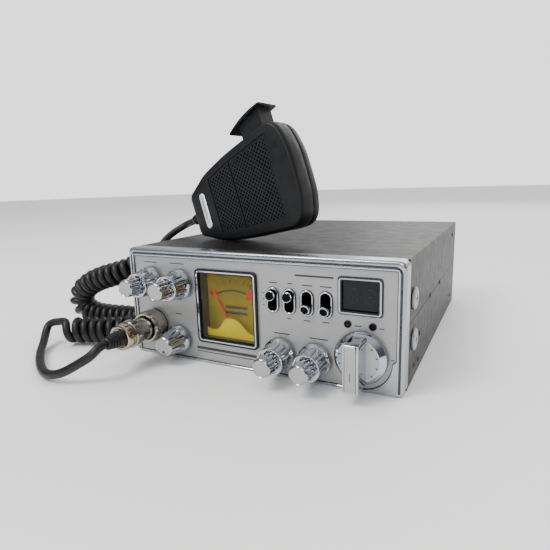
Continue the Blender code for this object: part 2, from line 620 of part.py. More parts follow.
def mic_reference_height():
    """Height that rests the body's lowest edge on the top cover."""
    lowest = min(u * MIC_LENGTH_AXIS.z + v * MIC_WIDTH_AXIS.z for u, v in mic_outline(0.0))
    return COVER_TOP + GAP - lowest


def mic_point(u, v, w):
    centre = Vector((*MIC_CENTRE, mic_reference_height()))
    return centre + MIC_LENGTH_AXIS * u + MIC_WIDTH_AXIS * v + MIC_FACE_AXIS * w


def in_mic(body):
    """Move a body drawn in the microphone's own axes to its place."""
    for vert in body.verts:
        vert.co = mic_point(*vert.co)
    return body


def mic_loft(levels):
    return in_mic(loft([[(u, v, w) for u, v in mic_outline(inset)] for inset, w in levels]))


MIC_PRESS_SLOT = (17.0, 34.1, 6.2)           # first u, last u, half width along w
HANG_UP_U = 26.0                             # the hang-up button's place on the back


def microphone():
    pivot = mic_point(0.0, 0.0, 0.0)
    depth = MIC_HALF_DEPTH
    first, last, half = MIC_PRESS_SLOT
    shells = {
        "mic_front_shell": ([(0.0, GAP / 2), (0.1, 6.8), (0.5, 9.3), (1.9, depth)],
                            [(2.2, -1.0), (2.3, 6.0), (3.8, depth - 2.2)]),
        "mic_rear_shell": ([(0.0, -GAP / 2), (0.4, -4.6), (2.0, -8.1), (6.0, -depth)],
                           [(2.2, 1.0), (2.6, -4.6), (7.0, 2.2 - depth)]),
    }
    for name, (outer, inner) in shells.items():
        made = node(name, mic_loft(outer), "dark_plastic", pivot=pivot)
        cut(made, mic_loft(inner))
        cut(made, in_mic(block(first, last, 18.0, 34.0, -half, half)))
    button = lathe([(0.0, 5.0), (6.0, 5.0), (7.5, 6.5), (8.5, 6.5)], (HANG_UP_U, 0.0, 0.8 - depth), (0, 0, -1), 20)
    join(bpy.data.objects["mic_rear_shell"], in_mic(button))
    foot, head = first + 0.6, last - 0.6
    side = [(foot, 20.0), (head, 20.0), (head, 39.4), (foot, 36.0)]
    stem = loft([[(u, v, w) for u, v in side] for w in (0.6 - half, half - 0.6)])
    press = node("press_to_talk_bar", in_mic(stem), "dark_plastic", pivot=pivot)
    middle, reach, crown, drop, rise = 23.7, 12.5, 38.9, 1.6, 3.2
    arch = [(middle + reach * t, crown - drop * t * t + rise * t) for t in (i / 4 - 1 for i in range(9))]
    back = [(u, v - 2.2 + 0.8 * abs((u - middle) / reach)) for u, v in reversed(arch)]
    join(press, in_mic(loft([[(u, v, w) for u, v in arch + back] for w in (-8.0, 8.0)])))
    node("mic_capsule", in_mic(lathe([(0.0, 11.0), (6.0, 11.0)], (2.0, 0.0, 1.8), (0, 0, 1), 24)),
         "zinc_steel", pivot=pivot)
    boot = [(GAP + 31.9, 5.2), (34.9, 4.8), (38.9, 3.6), (-MIC_BOOT_END, 3.0)]
    node("mic_boot", in_mic(lathe(boot, (0.0, 0.0, 0.0), (-1, 0, 0), 20)), "rubber", pivot=pivot)


def main():
    for old in list(bpy.data.objects):
        bpy.data.objects.remove(old, do_unlink=True)
    front_bezel()
    face_plate()
    top_cover()
    bottom_cover()
    bracket_screws()
    chassis_frame()
    rear_panel()
    rear_sockets()
    circuit_boards()
    speaker()
    controls()
    channel_selector()
    toggle_switches()
    meter()
    display()
    mic_connector()
    cord()
    microphone()


main()
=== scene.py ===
from math import atan2, cos, pi, radians, sin

import bmesh
import bpy
from mathutils import Matrix, Vector


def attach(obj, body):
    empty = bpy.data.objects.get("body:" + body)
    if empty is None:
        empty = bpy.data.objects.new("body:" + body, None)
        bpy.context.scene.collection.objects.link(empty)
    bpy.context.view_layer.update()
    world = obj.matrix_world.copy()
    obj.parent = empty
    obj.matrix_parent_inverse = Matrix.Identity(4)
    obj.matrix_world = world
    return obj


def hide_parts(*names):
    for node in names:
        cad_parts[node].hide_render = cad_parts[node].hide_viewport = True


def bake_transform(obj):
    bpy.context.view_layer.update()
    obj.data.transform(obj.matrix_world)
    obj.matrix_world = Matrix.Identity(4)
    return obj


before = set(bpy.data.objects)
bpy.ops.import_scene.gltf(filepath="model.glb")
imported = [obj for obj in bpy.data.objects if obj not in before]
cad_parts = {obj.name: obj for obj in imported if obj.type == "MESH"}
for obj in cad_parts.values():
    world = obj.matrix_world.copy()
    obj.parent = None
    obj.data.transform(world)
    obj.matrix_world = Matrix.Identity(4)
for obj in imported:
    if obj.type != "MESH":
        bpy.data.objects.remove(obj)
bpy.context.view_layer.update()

# ---------------- shared dimensions
# In millimetres from the case's left front bottom corner.
CASE = (152.3, 179.3, 60.0)
GAP = 0.3
PLATE = (4.0, 148.6, 1.4, 55.4)              # left, right, bottom, top
ARC_CENTRE, ARC_RADIUS = (133.6, 14.8), 13.4
DUALS = {"volume": (15.1, 41.7), "mic_gain": (34.6, 41.5), "tone": (93.3, 11.5), "dimmer": (111.5, 11.3)}
CLARIFIER, CHANNEL = (32.0, 10.9), (133.5, 16.2)
TOGGLES = ((90.0, 16.0), (98.8, 16.0), (107.7, -16.0), (116.9, -16.0))
TOGGLE_Z = 38.2
METER = (45.2, 81.5, 11.5, 50.7)
DIAL_CENTRE, DIAL_FRONT = (64.0, 15.4), 7.0
DISPLAY = (122.7, 142.5, 35.1, 51.9)
LAMPS = {"transmit_lamp": (127.1, 30.6), "warning_lamp": (138.4, 30.6)}
PLUG = (15.9, 17.65)
PLUG_BOOT_END = -36.0
BRACKET_SCREWS = {"upper": (18.1, 40.5), "lower": (19.9, 20.6)}
CABLE = 4.6
COIL_RADIUS = 8.25
COVER_TOP = 59.6


def at(point):
    """Design millimetres to the row frame's metres."""
    x, y, z = point
    return Vector(((x - CASE[0] / 2) * 0.001, (y - CASE[1] / 2) * 0.001, z * 0.001))


def placed(name, data):
    """Put data in the scene as an object."""
    made = bpy.data.objects.new(name, data)
    bpy.context.scene.collection.objects.link(made)
    return made


# ---------------- materials
def add(nodes, kind, **values):
    """Add a shader node, and set its inputs by name; an underscore stands for a space."""
    node = nodes.new("ShaderNode" + kind)
    for name, value in values.items():
        node.inputs[name.replace("_", " ")].default_value = value
    return node


def mix_colours(nodes, second):
    node = nodes.new("ShaderNodeMix")
    node.data_type = "RGBA"
    node.inputs["B"].default_value = (*second, 1.0)
    return node


def tinted(colour, factor):
    return (*(min(c * factor, 1.0) for c in colour), 1.0)


def material(name, colour, roughness, metallic=0.0, mottle=0.12, mottle_scale=70.0, grain=0.0, grain_scale=3500.0,
             rough_swing=0.2, dust=0.0, glow=0.0, alpha=1.0, specular=0.5):
    """Principled material with cloudy colour, uneven gloss, fine bump and a little dust, in object space."""
    made = bpy.data.materials.new(name)
    made.use_nodes = True
    nodes, link = made.node_tree.nodes, made.node_tree.links.new
    shader = nodes["Principled BSDF"].inputs
    shader["Metallic"].default_value = metallic
    shader["Specular IOR Level"].default_value = specular
    shader["Alpha"].default_value = alpha
    place = nodes.new("ShaderNodeTexCoord").outputs["Object"]

    def noise(scale, detail):
        texture = add(nodes, "TexNoise", Scale=scale, Detail=detail)
        link(place, texture.inputs["Vector"])
        return texture.outputs["Fac"]

    ramp = nodes.new("ShaderNodeValToRGB")
    for stop, position, factor in zip(ramp.color_ramp.elements, (0.3, 0.7), (1.0 - mottle, 1.0 + mottle)):
        stop.position = position
        stop.color = tinted(colour, factor)
    link(noise(mottle_scale, 4.0), ramp.inputs["Fac"])
    result = ramp.outputs["Color"]
    if dust:
        spots = add(nodes, "MapRange", From_Min=0.56, From_Max=0.8, To_Max=dust)
        link(noise(900.0, 6.0), spots.inputs["Value"])
        mix = mix_colours(nodes, (0.42, 0.4, 0.37))
        link(spots.outputs["Result"], mix.inputs["Factor"])
        link(result, mix.inputs["A"])
        result = mix.outputs["Result"]
    link(result, shader["Base Color"])
    gloss = add(nodes, "MapRange", From_Min=0.3, From_Max=0.7, To_Min=roughness * (1.0 - rough_swing),
                To_Max=roughness * (1.0 + rough_swing))
    link(noise(mottle_scale * 2.3, 5.0), gloss.inputs["Value"])
    link(gloss.outputs["Result"], shader["Roughness"])
    if grain:
        bump = add(nodes, "Bump", Strength=grain, Distance=0.0001)
        link(noise(grain_scale, 3.0), bump.inputs["Height"])
        link(bump.outputs["Normal"], shader["Normal"])
    # Emission in the surface's own colour: painted light, a glow on a part that is no lamp.
    if glow:
        link(result, shader["Emission Color"])
        shader["Emission Strength"].default_value = glow
    return made


LOOK = {
    "paint": material("satin_black_paint", (0.009, 0.0078, 0.0082), 0.42, mottle=0.15, grain=0.35, grain_scale=5200.0,
                      rough_swing=0.12, dust=0.02, specular=0.28),
    "zinc": material("zinc_plate", (0.5, 0.5, 0.48), 0.36, 0.9, mottle=0.12, grain=0.2),
    "trim": material("satin_trim", (0.43, 0.445, 0.465), 0.24, 0.95, mottle=0.04, grain=0.05, rough_swing=0.15),
    "plate": material("satin_face_plate", (0.37, 0.37, 0.375), 0.4, 0.55, mottle=0.03, grain=0.12, grain_scale=5000.0,
                      rough_swing=0.1),
    "chrome": material("chrome_plate", (0.5, 0.52, 0.55), 0.1, 1.0, mottle=0.03, rough_swing=0.4),
    "satin_tip": material("spun_tip", (0.42, 0.42, 0.43), 0.36, 0.7, mottle=0.05, grain=0.1),
    "nickel": material("nickel_plate", (0.42, 0.405, 0.35), 0.2, 1.0, mottle=0.12, rough_swing=0.35),
    "warm_nickel": material("warm_nickel_plate", (0.5, 0.41, 0.3), 0.18, 1.0, mottle=0.15, rough_swing=0.35),
    "plastic": material("black_plastic", (0.0055, 0.006, 0.007), 0.46, mottle=0.2, grain=0.5, grain_scale=4200.0,
                        dust=0.015, specular=0.3),
    "grille": material("grille_plastic", (0.0085, 0.009, 0.0105), 0.5, mottle=0.2, grain=0.4, dust=0.02, specular=0.35),
    "dark": material("shadow_black", (0.002, 0.002, 0.0025), 0.7, mottle=0.2, specular=0.08),
    "groove": material("dark_groove", (0.05, 0.055, 0.06), 0.3, 0.3, mottle=0.2),
    "ink": material("printed_ink", (0.03, 0.03, 0.032), 0.5, mottle=0.15),
    "board": material("green_board", (0.05, 0.17, 0.07), 0.45, mottle=0.25, mottle_scale=400.0, grain=0.2),
    # Painted light: the meter's dial, hump, hump edge band, red zones and walls glow as if lit from behind, though no
    # lamp is in the meter; the hump's edge band is also painted shade.
    "dial": material("dial_painted_glow", (0.22, 0.165, 0.008), 0.6, mottle=0.2, mottle_scale=45.0, glow=0.1, specular=0.1),
    "dial_hump": material("dial_hump_bright_painted_glow", (0.46, 0.37, 0.006), 0.6, mottle=0.08, mottle_scale=60.0, glow=0.22,
                          specular=0.1),
    "dial_edge": material("dial_hump_painted_shade_glow", (0.2, 0.13, 0.02), 0.6, mottle=0.1, glow=0.08, specular=0.2),
    "dial_ink": material("dial_ink", (0.045, 0.04, 0.02), 0.6, mottle=0.2),
    "dial_red": material("dial_red", (0.5, 0.035, 0.015), 0.6, mottle=0.2, glow=0.15, specular=0.1),
    "olive": material("meter_wall", (0.06, 0.055, 0.018), 0.35, mottle=0.2, glow=0.02, specular=0.3),
    "clear": material("clear_window", (0.3, 0.31, 0.3), 0.05, mottle=0.02, alpha=0.03, specular=0.2),
    "glass": material("smoked_window", (0.003, 0.0035, 0.005), 0.1, mottle=0.2, specular=0.25),
    "ghost": material("unlit_segment", (0.008, 0.012, 0.016), 0.3, mottle=0.15, specular=0.25),
    "rubber": material("satin_rubber", (0.0075, 0.0075, 0.008), 0.44, mottle=0.25, grain=0.35, grain_scale=2600.0,
                       dust=0.02, specular=0.4),
    "cone": material("paper_cone", (0.08, 0.07, 0.06), 0.85, mottle=0.2, grain=0.6),
    "badge": material("silver_badge", (0.86, 0.87, 0.9), 0.25, 0.6, mottle=0.04, rough_swing=0.2),
    "screw": material("blackened_steel", (0.03, 0.03, 0.032), 0.35, 0.6, mottle=0.2),
}


# ---------------- mesh helpers
def loft(rings, closed=True):
    body = bmesh.new()
    levels = [[body.verts.new(point) for point in ring] for ring in rings]
    count = len(rings[0])
    for lower, upper in zip(levels, levels[1:]):
        for i in range(count):
            j = (i + 1) % count
            body.faces.new((lower[i], lower[j], upper[j], upper[i]))
    if closed:
        body.faces.new(list(reversed(levels[0])))
        body.faces.new(levels[-1])
    bmesh.ops.recalc_face_normals(body, faces=body.faces)
    return body


def slab(outline, start, end):
    """A flat outline drawn out along its third coordinate."""
    return loft([[(u, v, w) for u, v in outline] for w in (start, end)])


def catmull(a, b, c, d, t):
    """Point between b and c on a Catmull-Rom curve."""
    return 0.5 * ((2 * b) + (c - a) * t + (2 * a - 5 * b + 4 * c - d) * t * t + (3 * b - a - 3 * c + d) * t ** 3)


def prism_y(outline, front, back):
    return loft([[(x, y, z) for x, z in outline] for y in (front, back)])


def block(x0, x1, y0, y1, z0, z1):
    return prism_y([(x0, z0), (x1, z0), (x1, z1), (x0, z1)], y0, y1)


def arc(cx, cz, radius, start, sweep, steps):
    """Points round a centre, both ends included; angles in degrees."""
    angles = [radians(start + sweep * i / steps) for i in range(steps + 1)]
    return [(cx + radius * cos(a), cz + radius * sin(a)) for a in angles]


def rounded(x0, x1, z0, z1, radius, steps=6):
    corners = ((x1 - radius, z0 + radius, -90), (x1 - radius, z1 - radius, 0),
               (x0 + radius, z1 - radius, 90), (x0 + radius, z0 + radius, 180))
    return [point for cx, cz, start in corners for point in arc(cx, cz, radius, start, 90.0, steps)]


def inset_box(box, inset, radius):
    """Rounded outline drawn in from a (left, right, bottom, top) box."""
    left, right, bottom, top = box
    return rounded(left + inset, right - inset, bottom + inset, top - inset, radius)


def oval(cx, cz, width, height, steps=12):
    half = height / 2 - width / 2
    return arc(cx, cz + half, width / 2, 0, 180.0, steps) + arc(cx, cz - half, width / 2, 180, 180.0, steps)


def offset(outline, distance):
    """Grow an anticlockwise outline by a distance, mitred at its corners."""
    grown = []
    for i, point in enumerate(outline):
        before, here = Vector(outline[i - 1]), Vector(point)
        after = Vector(outline[(i + 1) % len(outline)])
        first, second = (here - before).normalized(), (after - here).normalized()
        normal = Vector((first.y + second.y, -first.x - second.x)).normalized()
        spread = max(normal.dot(Vector((first.y, -first.x))), 0.5)
        grown.append(tuple(here + normal * distance / spread))
    return grown


def turned(profile, origin, direction=(0, 1, 0), segments=48, ring=False, flutes=0, sharpness=4):
    """Turn (distance, radius[, flute depth]) points about an axis; flutes cut grooves round it."""
    along = Vector(direction).normalized()
    side = along.orthogonal().normalized()
    other = along.cross(side)
    start = Vector(origin)
    body = bmesh.new()
    rows = []
    for distance, radius, *cut in profile:
        centre = start + along * distance
        if radius < 0.001:
            rows.append([body.verts.new(centre)] * segments)
            continue
        row = []
        for i in range(segments):
            angle = 2 * pi * i / segments
            dip = cut[0] * (0.5 + 0.5 * cos(flutes * angle)) ** sharpness if cut and flutes else 0.0
            row.append(body.verts.new(centre + (side * cos(angle) + other * sin(angle)) * (radius - dip)))
        rows.append(row)
    pairs = list(zip(rows, rows[1:]))
    if ring:
        pairs.append((rows[-1], rows[0]))
    for lower, upper in pairs:
        for i in range(segments):
            j = (i + 1) % segments
            corners = list(dict.fromkeys([lower[i], lower[j], upper[j], upper[i]]))
            if len(corners) > 2:
                body.faces.new(corners)
    if not ring:
        for row in (rows[0], rows[-1]):
            if row[0] is not row[1]:
                body.faces.new(row)
    bmesh.ops.recalc_face_normals(body, faces=body.faces)
    return body


def merged(bodies):
    whole = bmesh.new()
    for body in bodies:
        mesh = bpy.data.meshes.new("part")
        body.to_mesh(mesh)
        body.free()
        whole.from_mesh(mesh)
        bpy.data.meshes.remove(mesh)
    return whole


def band(outline, width, front, back, crown=0.0):
    """Closed strip that follows an outline: width across, from front to back in depth."""
    inner, outer = offset(outline, -width / 2), offset(outline, width / 2)
    body = bmesh.new()
    rows = []
    for i in range(len(outline)):
        (ax, az), (bx, bz) = inner[i], outer[i]
        inset = 0.25
        section = [(ax, back, az), (ax, front + crown, az),
                   (ax + (bx - ax) * inset, front, az + (bz - az) * inset),
                   (bx - (bx - ax) * inset, front, bz - (bz - az) * inset),
                   (bx, front + crown, bz), (bx, back, bz)]
        rows.append([body.verts.new(point) for point in section])
    for i, row in enumerate(rows):
        following = rows[(i + 1) % len(rows)]
        for k in range(6):
            body.faces.new((row[k], row[(k + 1) % 6], following[(k + 1) % 6], following[k]))
    bmesh.ops.recalc_face_normals(body, faces=body.faces)
    return body


def soften(target, width, segments=2, angle=35):
    """Small rounded edges, in millimetres."""
    step = target.modifiers.new("edges", "BEVEL")
    step.width = width * 0.001
    step.segments = segments
    step.limit_method = "ANGLE"
    step.angle_limit = radians(angle)
    step.use_clamp_overlap = True


def to_object(name, body, transform):
    for vert in body.verts:
        vert.co = transform(vert.co)
    mesh = bpy.data.meshes.new(name)
    body.to_mesh(mesh)
    body.free()
    return placed(name, mesh)


def piece(name, body, look, rides="root", slot=None, sharp=40, stands_for=(), transform=at):
    """Make a visible piece from a mesh drawn in design millimetres."""
    made = to_object(name, body, transform)
    made.data.materials.append(LOOK[look])
    made.data.shade_smooth()
    made.data.set_sharp_from_angle(angle=radians(sharp))
    if rides:
        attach(made, rides)
    if stands_for:
        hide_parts(*stands_for)
    return made


def carved(target, cutter, transform=at):
    """Cut a body away from a piece that has no modifiers yet, and keep the result as its plain mesh."""
    tool = to_object("cutter", cutter, transform)
    step = target.modifiers.new("cut", "BOOLEAN")
    step.object = tool
    step.solver = "EXACT"
    bpy.context.view_layer.update()
    result = bpy.data.meshes.new_from_object(target.evaluated_get(bpy.context.evaluated_depsgraph_get()))
    target.modifiers.remove(step)
    target.data = result
    target.data.set_sharp_from_angle(angle=radians(40))
    bpy.data.objects.remove(tool, do_unlink=True)


# ---------------- camera, light and floor
def studio():
    scene = bpy.context.scene
    lens = bpy.data.cameras.new("camera")
    lens.sensor_width = 36.0
    lens.lens = 36.0 * 452.226 / 550.0
    lens.clip_start = 0.01
    camera = placed("camera", lens)
    right = Vector((0.88878027, 0.45736938, -0.02971341))
    up = Vector((-0.06715765, 0.19408474, 0.97868328))
    forward = Vector((-0.45338668, 0.86783891, -0.20321454))
    turn = Matrix((right, up, -forward)).transposed().to_4x4()
    camera.matrix_world = Matrix.Translation((0.1116, -0.2733, 0.09342)) @ turn
    scene.camera = camera

    for name, spot, aim, size, power, tint in (
            ("key", (-0.45, -0.7, 1.0), (0.0, -0.05, 0.04), 0.5, 12.0, (1.0, 0.99, 0.97)),
            ("fill", (0.2, -1.0, 0.5), (0.0, -0.05, 0.05), 0.35, 2.6, (0.97, 0.98, 1.0)),
            ("back", (0.1, 1.1, 0.75), (0.0, 0.05, 0.06), 0.9, 6.0, (1.0, 0.99, 0.97)),
            ("side", (0.9, 0.35, 0.4), (0.05, 0.0, 0.1), 0.2, 1.2, (1.0, 0.8, 0.7))):
        light = bpy.data.lights.new(name, "AREA")
        light.size = size
        light.energy = power
        light.color = tint
        lamp = placed(name, light)
        lamp.location = spot
        lamp.rotation_euler = (Vector(aim) - Vector(spot)).to_track_quat("-Z", "Y").to_euler()

    world = bpy.data.worlds.new("studio")
    world.use_nodes = True
    nodes, link = world.node_tree.nodes, world.node_tree.links.new
    where = nodes.new("ShaderNodeTexCoord")
    split = nodes.new("ShaderNodeSeparateXYZ")
    ramp = nodes.new("ShaderNodeValToRGB")
    low, high = ramp.color_ramp.elements
    low.position, low.color = 0.05, (0.10, 0.10, 0.11, 1.0)
    high.position, high.color = 0.8, (0.75, 0.75, 0.75, 1.0)
    ramp.color_ramp.elements.new(0.42).color = (0.16, 0.165, 0.175, 1.0)
    behind = add(nodes, "MapRange", From_Min=0.2, From_Max=0.9, To_Max=0.9)
    glow = mix_colours(nodes, (1.0, 1.0, 1.0))
    mix = mix_colours(nodes, (1.9, 1.9, 1.9))
    link(where.outputs["Generated"], split.inputs["Vector"])
    link(split.outputs["Z"], ramp.inputs["Fac"])
    link(split.outputs["Y"], behind.inputs["Value"])
    link(behind.outputs["Result"], glow.inputs["Factor"])
    link(ramp.outputs["Color"], glow.inputs["A"])
    link(glow.outputs["Result"], mix.inputs["A"])
    link(nodes.new("ShaderNodeLightPath").outputs["Is Camera Ray"], mix.inputs["Factor"])
    link(mix.outputs["Result"], nodes["Background"].inputs["Color"])
    scene.world = world

    sky = bpy.data.lights.new("sky", "SUN")
    sky.energy = 1.7
    sky.angle = radians(100.0)
    above = placed("sky", sky)
    above.rotation_euler = (radians(-22.0), 0.0, 0.0)
    above.visible_glossy = False
    floor_mesh = bpy.data.meshes.new("floor")
    sheet = bmesh.new()
    bmesh.ops.create_circle(sheet, cap_ends=True, segments=64, radius=4.0)
    sheet.to_mesh(floor_mesh)
    sheet.free()
    floor_mesh.materials.append(material("pale_floor", (0.88, 0.88, 0.88), 0.6, mottle=0.005, mottle_scale=2.0))
    floor = placed("floor", floor_mesh)
    floor.location.z = -0.0002


# ---------------- cord
COIL_ROUTE = [
    (-14.5, 34.0, 48.5), (-17.0, 29.6, 45.4), (-24.0, 24.5, 41.6), (-33.0, 21.4, 38.6), (-42.5, 20.0, 36.0),
    (-53.0, 19.0, 32.0), (-61.5, 18.6, 26.4), (-65.5, 19.0, 19.5), (-62.5, 20.5, 12.4), (-54.0, 22.5, 9.2),
    (-44.0, 24.0, 8.6), (-32.0, 25.6, 8.6), (-21.0, 26.0, 8.6), (-13.0, 22.5, 8.8), (-9.6, 14.6, 9.0),
    (-12.6, 6.6, 8.8), (-20.0, 2.0, 8.6), (-29.0, -1.2, 8.6), (-38.0, -5.2, 8.6), (-48.0, -10.0, 8.6)]
MIC_LEAD_ROUTE = [(-1.5, 56.2, 67.4), (-6.4, 53.4, 64.4), (-10.0, 48.4, 60.8), (-12.0, 42.8, 56.4)]
PLUG_LEAD_ROUTE = [
    (14.4, -43.6, 14.4), (7.5, -47.0, 9.8), (-1.0, -50.0, 5.2), (-11.0, -50.2, 3.0), (-22.0, -45.5, 2.6),
    (-33.0, -38.5, 2.6), (-44.0, -30.0, 2.8), (-52.0, -22.0, 4.6), (-57.0, -16.0, 8.8), (-57.5, -12.9, 12.6)]


def smooth_route(points, step):
    """Points along a Catmull-Rom curve through the route's own points, evenly spaced."""
    knots = [Vector(p) for p in points]
    ends = [knots[0] * 2 - knots[1]] + knots + [knots[-1] * 2 - knots[-2]]
    fine = []
    for i in range(1, len(ends) - 2):
        fine += [catmull(*ends[i - 1:i + 3], k / 24) for k in range(24)]
    fine.append(knots[-1])
    return evenly(fine, step)


def evenly(fine, step):
    """The same line with its points an even step apart."""
    total = sum((q - p).length for p, q in zip(fine, fine[1:]))
    count = max(2, round(total / step))
    spaced, walked, index = [fine[0]], 0.0, 0
    for k in range(1, count):
        target = total * k / count
        while walked + (fine[index + 1] - fine[index]).length < target:
            walked += (fine[index + 1] - fine[index]).length
            index += 1
        ratio = (target - walked) / (fine[index + 1] - fine[index]).length
        spaced.append(fine[index].lerp(fine[index + 1], ratio))
    return spaced + [fine[-1]]


def outward(route):
    return (Vector(route[0]) - Vector(route[1])).normalized()


def smoothstep(t):
    t = min(max(t, 0.0), 1.0)
    return t * t * (3 - 2 * t)


def frames(points):
    """A direction and two side vectors at each point, carried along without twist."""
    tangents = [(points[min(i + 1, len(points) - 1)] - points[max(i - 1, 0)]).normalized()
                for i in range(len(points))]
    side = tangents[0].orthogonal().normalized()
    carried = []
    for tangent in tangents:
        side = (side - tangent * side.dot(tangent)).normalized()
        carried.append((tangent, side, tangent.cross(side)))
    return carried


def sweep(points, radius, segments):
    """Round tube along points, closed by flat ends."""
    angles = [2 * pi * k / segments for k in range(segments)]
    return loft([[point + (side * cos(a) + other * sin(a)) * radius for a in angles]
                 for point, (_, side, other) in zip(points, frames(points))])


COIL_PITCH = 5.25
COIL_SWING = 10.0        # stretch of axis in which the cord swings out to the coil's radius


def cord_line():
    """Centreline of the whole cord, from the microphone's boot to the plug's boot."""
    near_coil = [Vector(COIL_ROUTE[0]) + outward(COIL_ROUTE) * reach for reach in (7.0, 3.0, GAP + 0.1)]
    first = [mic_point((MIC_BOOT_END - reach, 0.0, 0.0)) for reach in (2 * GAP, 4.0)] + MIC_LEAD_ROUTE + near_coil
    lead = smooth_route(first, 0.12)
    coil = smooth_route(COIL_ROUTE, 0.12)
    axis = lead + coil[1:]
    start = len(lead)
    stations = [0.0]
    for p, q in zip(axis, axis[1:]):
        stations.append(stations[-1] + (q - p).length)
    begin, end = stations[start], stations[-1]
    radius = COIL_RADIUS - CABLE / 2 - 0.1
    phases = [0.0]
    for s, t in zip(stations, stations[1:]):
        opening = smoothstep((s - begin + COIL_SWING * 0.8) / COIL_SWING) * (1.0 - smoothstep((s - end + 6.0) / 6.0))
        phases.append(phases[-1] + 2 * pi * (t - s) / COIL_PITCH * opening)
    carried = frames(axis)
    tangent, side, other = carried[-1]
    upright = atan2(other.z, side.z)
    shift = upright - phases[-1]
    wound = []
    for point, s, phase, (_, a, b) in zip(axis, stations, phases, carried):
        out = radius * smoothstep((s - begin + COIL_SWING * 0.75) / COIL_SWING)
        wound.append(point + (a * cos(phase + shift) + b * sin(phase + shift)) * out)
    coil_end = list(reversed(COIL_ROUTE))
    on_rim = Vector(coil_end[0]) + outward(coil_end) * 1.2 + Vector((0.0, 0.0, COIL_RADIUS - CABLE / 2 - 0.3))
    leaving = [(PLUG[0], PLUG_BOOT_END - reach, PLUG[1]) for reach in (3 * GAP, 4.5)]
    tail = list(reversed(smooth_route(leaving + PLUG_LEAD_ROUTE + [on_rim], 0.8)))
    line = evenly(wound + tail[2:], 0.8)
    for _ in range(10):
        line = [line[0]] + [(p + q * 2 + r) / 4 for p, q, r in zip(line, line[1:], line[2:])] + [line[-1]]
    return evenly(line, 1.9)


def cord():
    line = cord_line()
    made = piece("curly_lead", sweep(line, CABLE / 2, 10), "rubber", rides=None, sharp=60, slot="rubber",
                 stands_for=("microphone_lead", "curly_cord", "plug_lead"))
    return made, [at(p) for p in line]


# ---------------- microphone axes
MIC_TURN, MIC_ROLL = radians(-11.4), radians(18.8)
MIC_U = Vector((cos(MIC_ROLL) * cos(MIC_TURN), cos(MIC_ROLL) * sin(MIC_TURN), sin(MIC_ROLL)))
MIC_W = Vector((sin(MIC_TURN), -cos(MIC_TURN), 0.0))
MIC_V = MIC_W.cross(MIC_U)
MIC_HALF_OUTLINE = [(-31.9, 10.6), (-30.4, 13.4), (-22.4, 17.2), (-13.9, 20.9), (4.0, 24.7), (22.0, 26.9),
                    (34.6, 28.4), (40.6, 27.9), (45.0, 23.8), (47.4, 16.7), (48.6, 8.4)]
MIC_BOOT_END = -43.9
MIC_FACE = 10.5
LOWEST = min(u * MIC_U.z - v * MIC_V.z for u, v in MIC_HALF_OUTLINE)
MIC_CENTRE = Vector((47.9, 45.1, COVER_TOP + GAP - LOWEST))


def mic_point(point):
    u, v, w = point
    return MIC_CENTRE + MIC_U * u + MIC_V * v + MIC_W * w


def mic_at(point):
    return at(mic_point(point))


def mic_outline(inset, steps=4):
    """Smooth anticlockwise outline of the microphone body, drawn in by a distance."""
    knots = [(u, -v) for u, v in MIC_HALF_OUTLINE] + list(reversed(MIC_HALF_OUTLINE))
    points = []
    count = len(knots)
    for i in range(count):           # the sides stay straight at the cord end
        a, b, c, d = (Vector(knots[(i + k) % count]) for k in (-1, 0, 1, 2))
        straight = i <= 1 or i >= count - 3
        for t in (k / steps for k in range(steps)):
            points.append(tuple(b.lerp(c, t) if straight else catmull(a, b, c, d, t)))
    return offset(points, -inset) if inset else points


def mic_half_width(u):
    for (a, va), (b, vb) in zip(MIC_HALF_OUTLINE, MIC_HALF_OUTLINE[1:]):
        if a <= u <= b:
            return va + (vb - va) * (u - a) / (b - a)
    return MIC_HALF_OUTLINE[-1][1]


def mic_field(first, last, margin, steps=14):
    """Convex (u, v) outline between two stations, a margin inside the body's outline."""
    stations = [first + (last - first) * i / steps for i in range(steps + 1)]
    lower = [(u, margin - mic_half_width(u)) for u in stations]
    upper = [(u, mic_half_width(u) - margin) for u in reversed(stations)]
    return lower + upper


def clipped(outline, point, direction):
    """Where a line enters and leaves a convex outline, or None."""
    low, high = -1e9, 1e9
    for i, corner in enumerate(outline):
        following = outline[(i + 1) % len(outline)]
        edge = (following[0] - corner[0], following[1] - corner[1])
        normal = (edge[1], -edge[0])
        reach = normal[0] * (point[0] - corner[0]) + normal[1] * (point[1] - corner[1])
        rate = normal[0] * direction[0] + normal[1] * direction[1]
        if abs(rate) < 1e-9:
            if reach > 0:
                return None
            continue
        cross = -reach / rate
        if rate > 0:
            high = min(high, cross)
        else:
            low = max(low, cross)
    return (low, high) if high - low > 0.8 else None


def grille(outline, spacing, width, top, bottom):
    """Two crossing sets of slanted bars inside an outline."""
    bars = []
    centre = (sum(p[0] for p in outline) / len(outline), sum(p[1] for p in outline) / len(outline))
    for slant, drop in ((45.0, 0.0), (-45.0, 0.06)):
        along = (cos(radians(slant)), sin(radians(slant)))
        across = (-along[1], along[0])
        for k in range(-30, 31):
            shift = k * spacing
            origin = (centre[0] + across[0] * shift, centre[1] + across[1] * shift)
            span = clipped(outline, origin, along)
            if span is None:
                continue
            rings = []
            for t in span:
                middle = (origin[0] + along[0] * t, origin[1] + along[1] * t)
                rings.append([(middle[0] + across[0] * o, middle[1] + across[1] * o, w - drop)
                              for o, w in ((-width / 2, bottom), (-width * 0.32, top), (width * 0.32, top),
                                           (width / 2, bottom))])
            bars.append(loft(rings))
    return merged(bars)


# ---------------- case
def plate_outline(grow=0.0, steps=24):
    """Face plate outline: straight sides, and an arc about the channel selector."""
    left, right, bottom, top = PLATE
    shelf = ARC_CENTRE[1] + 1.6
    return [(left - grow, bottom - grow), *arc(*ARC_CENTRE, ARC_RADIUS + grow, -90, 90, steps), (right + grow, shelf),
            *arc(right + grow - 0.8, top + grow - 0.8, 0.8, 0, 90, 6), (left - grow, top + grow)]


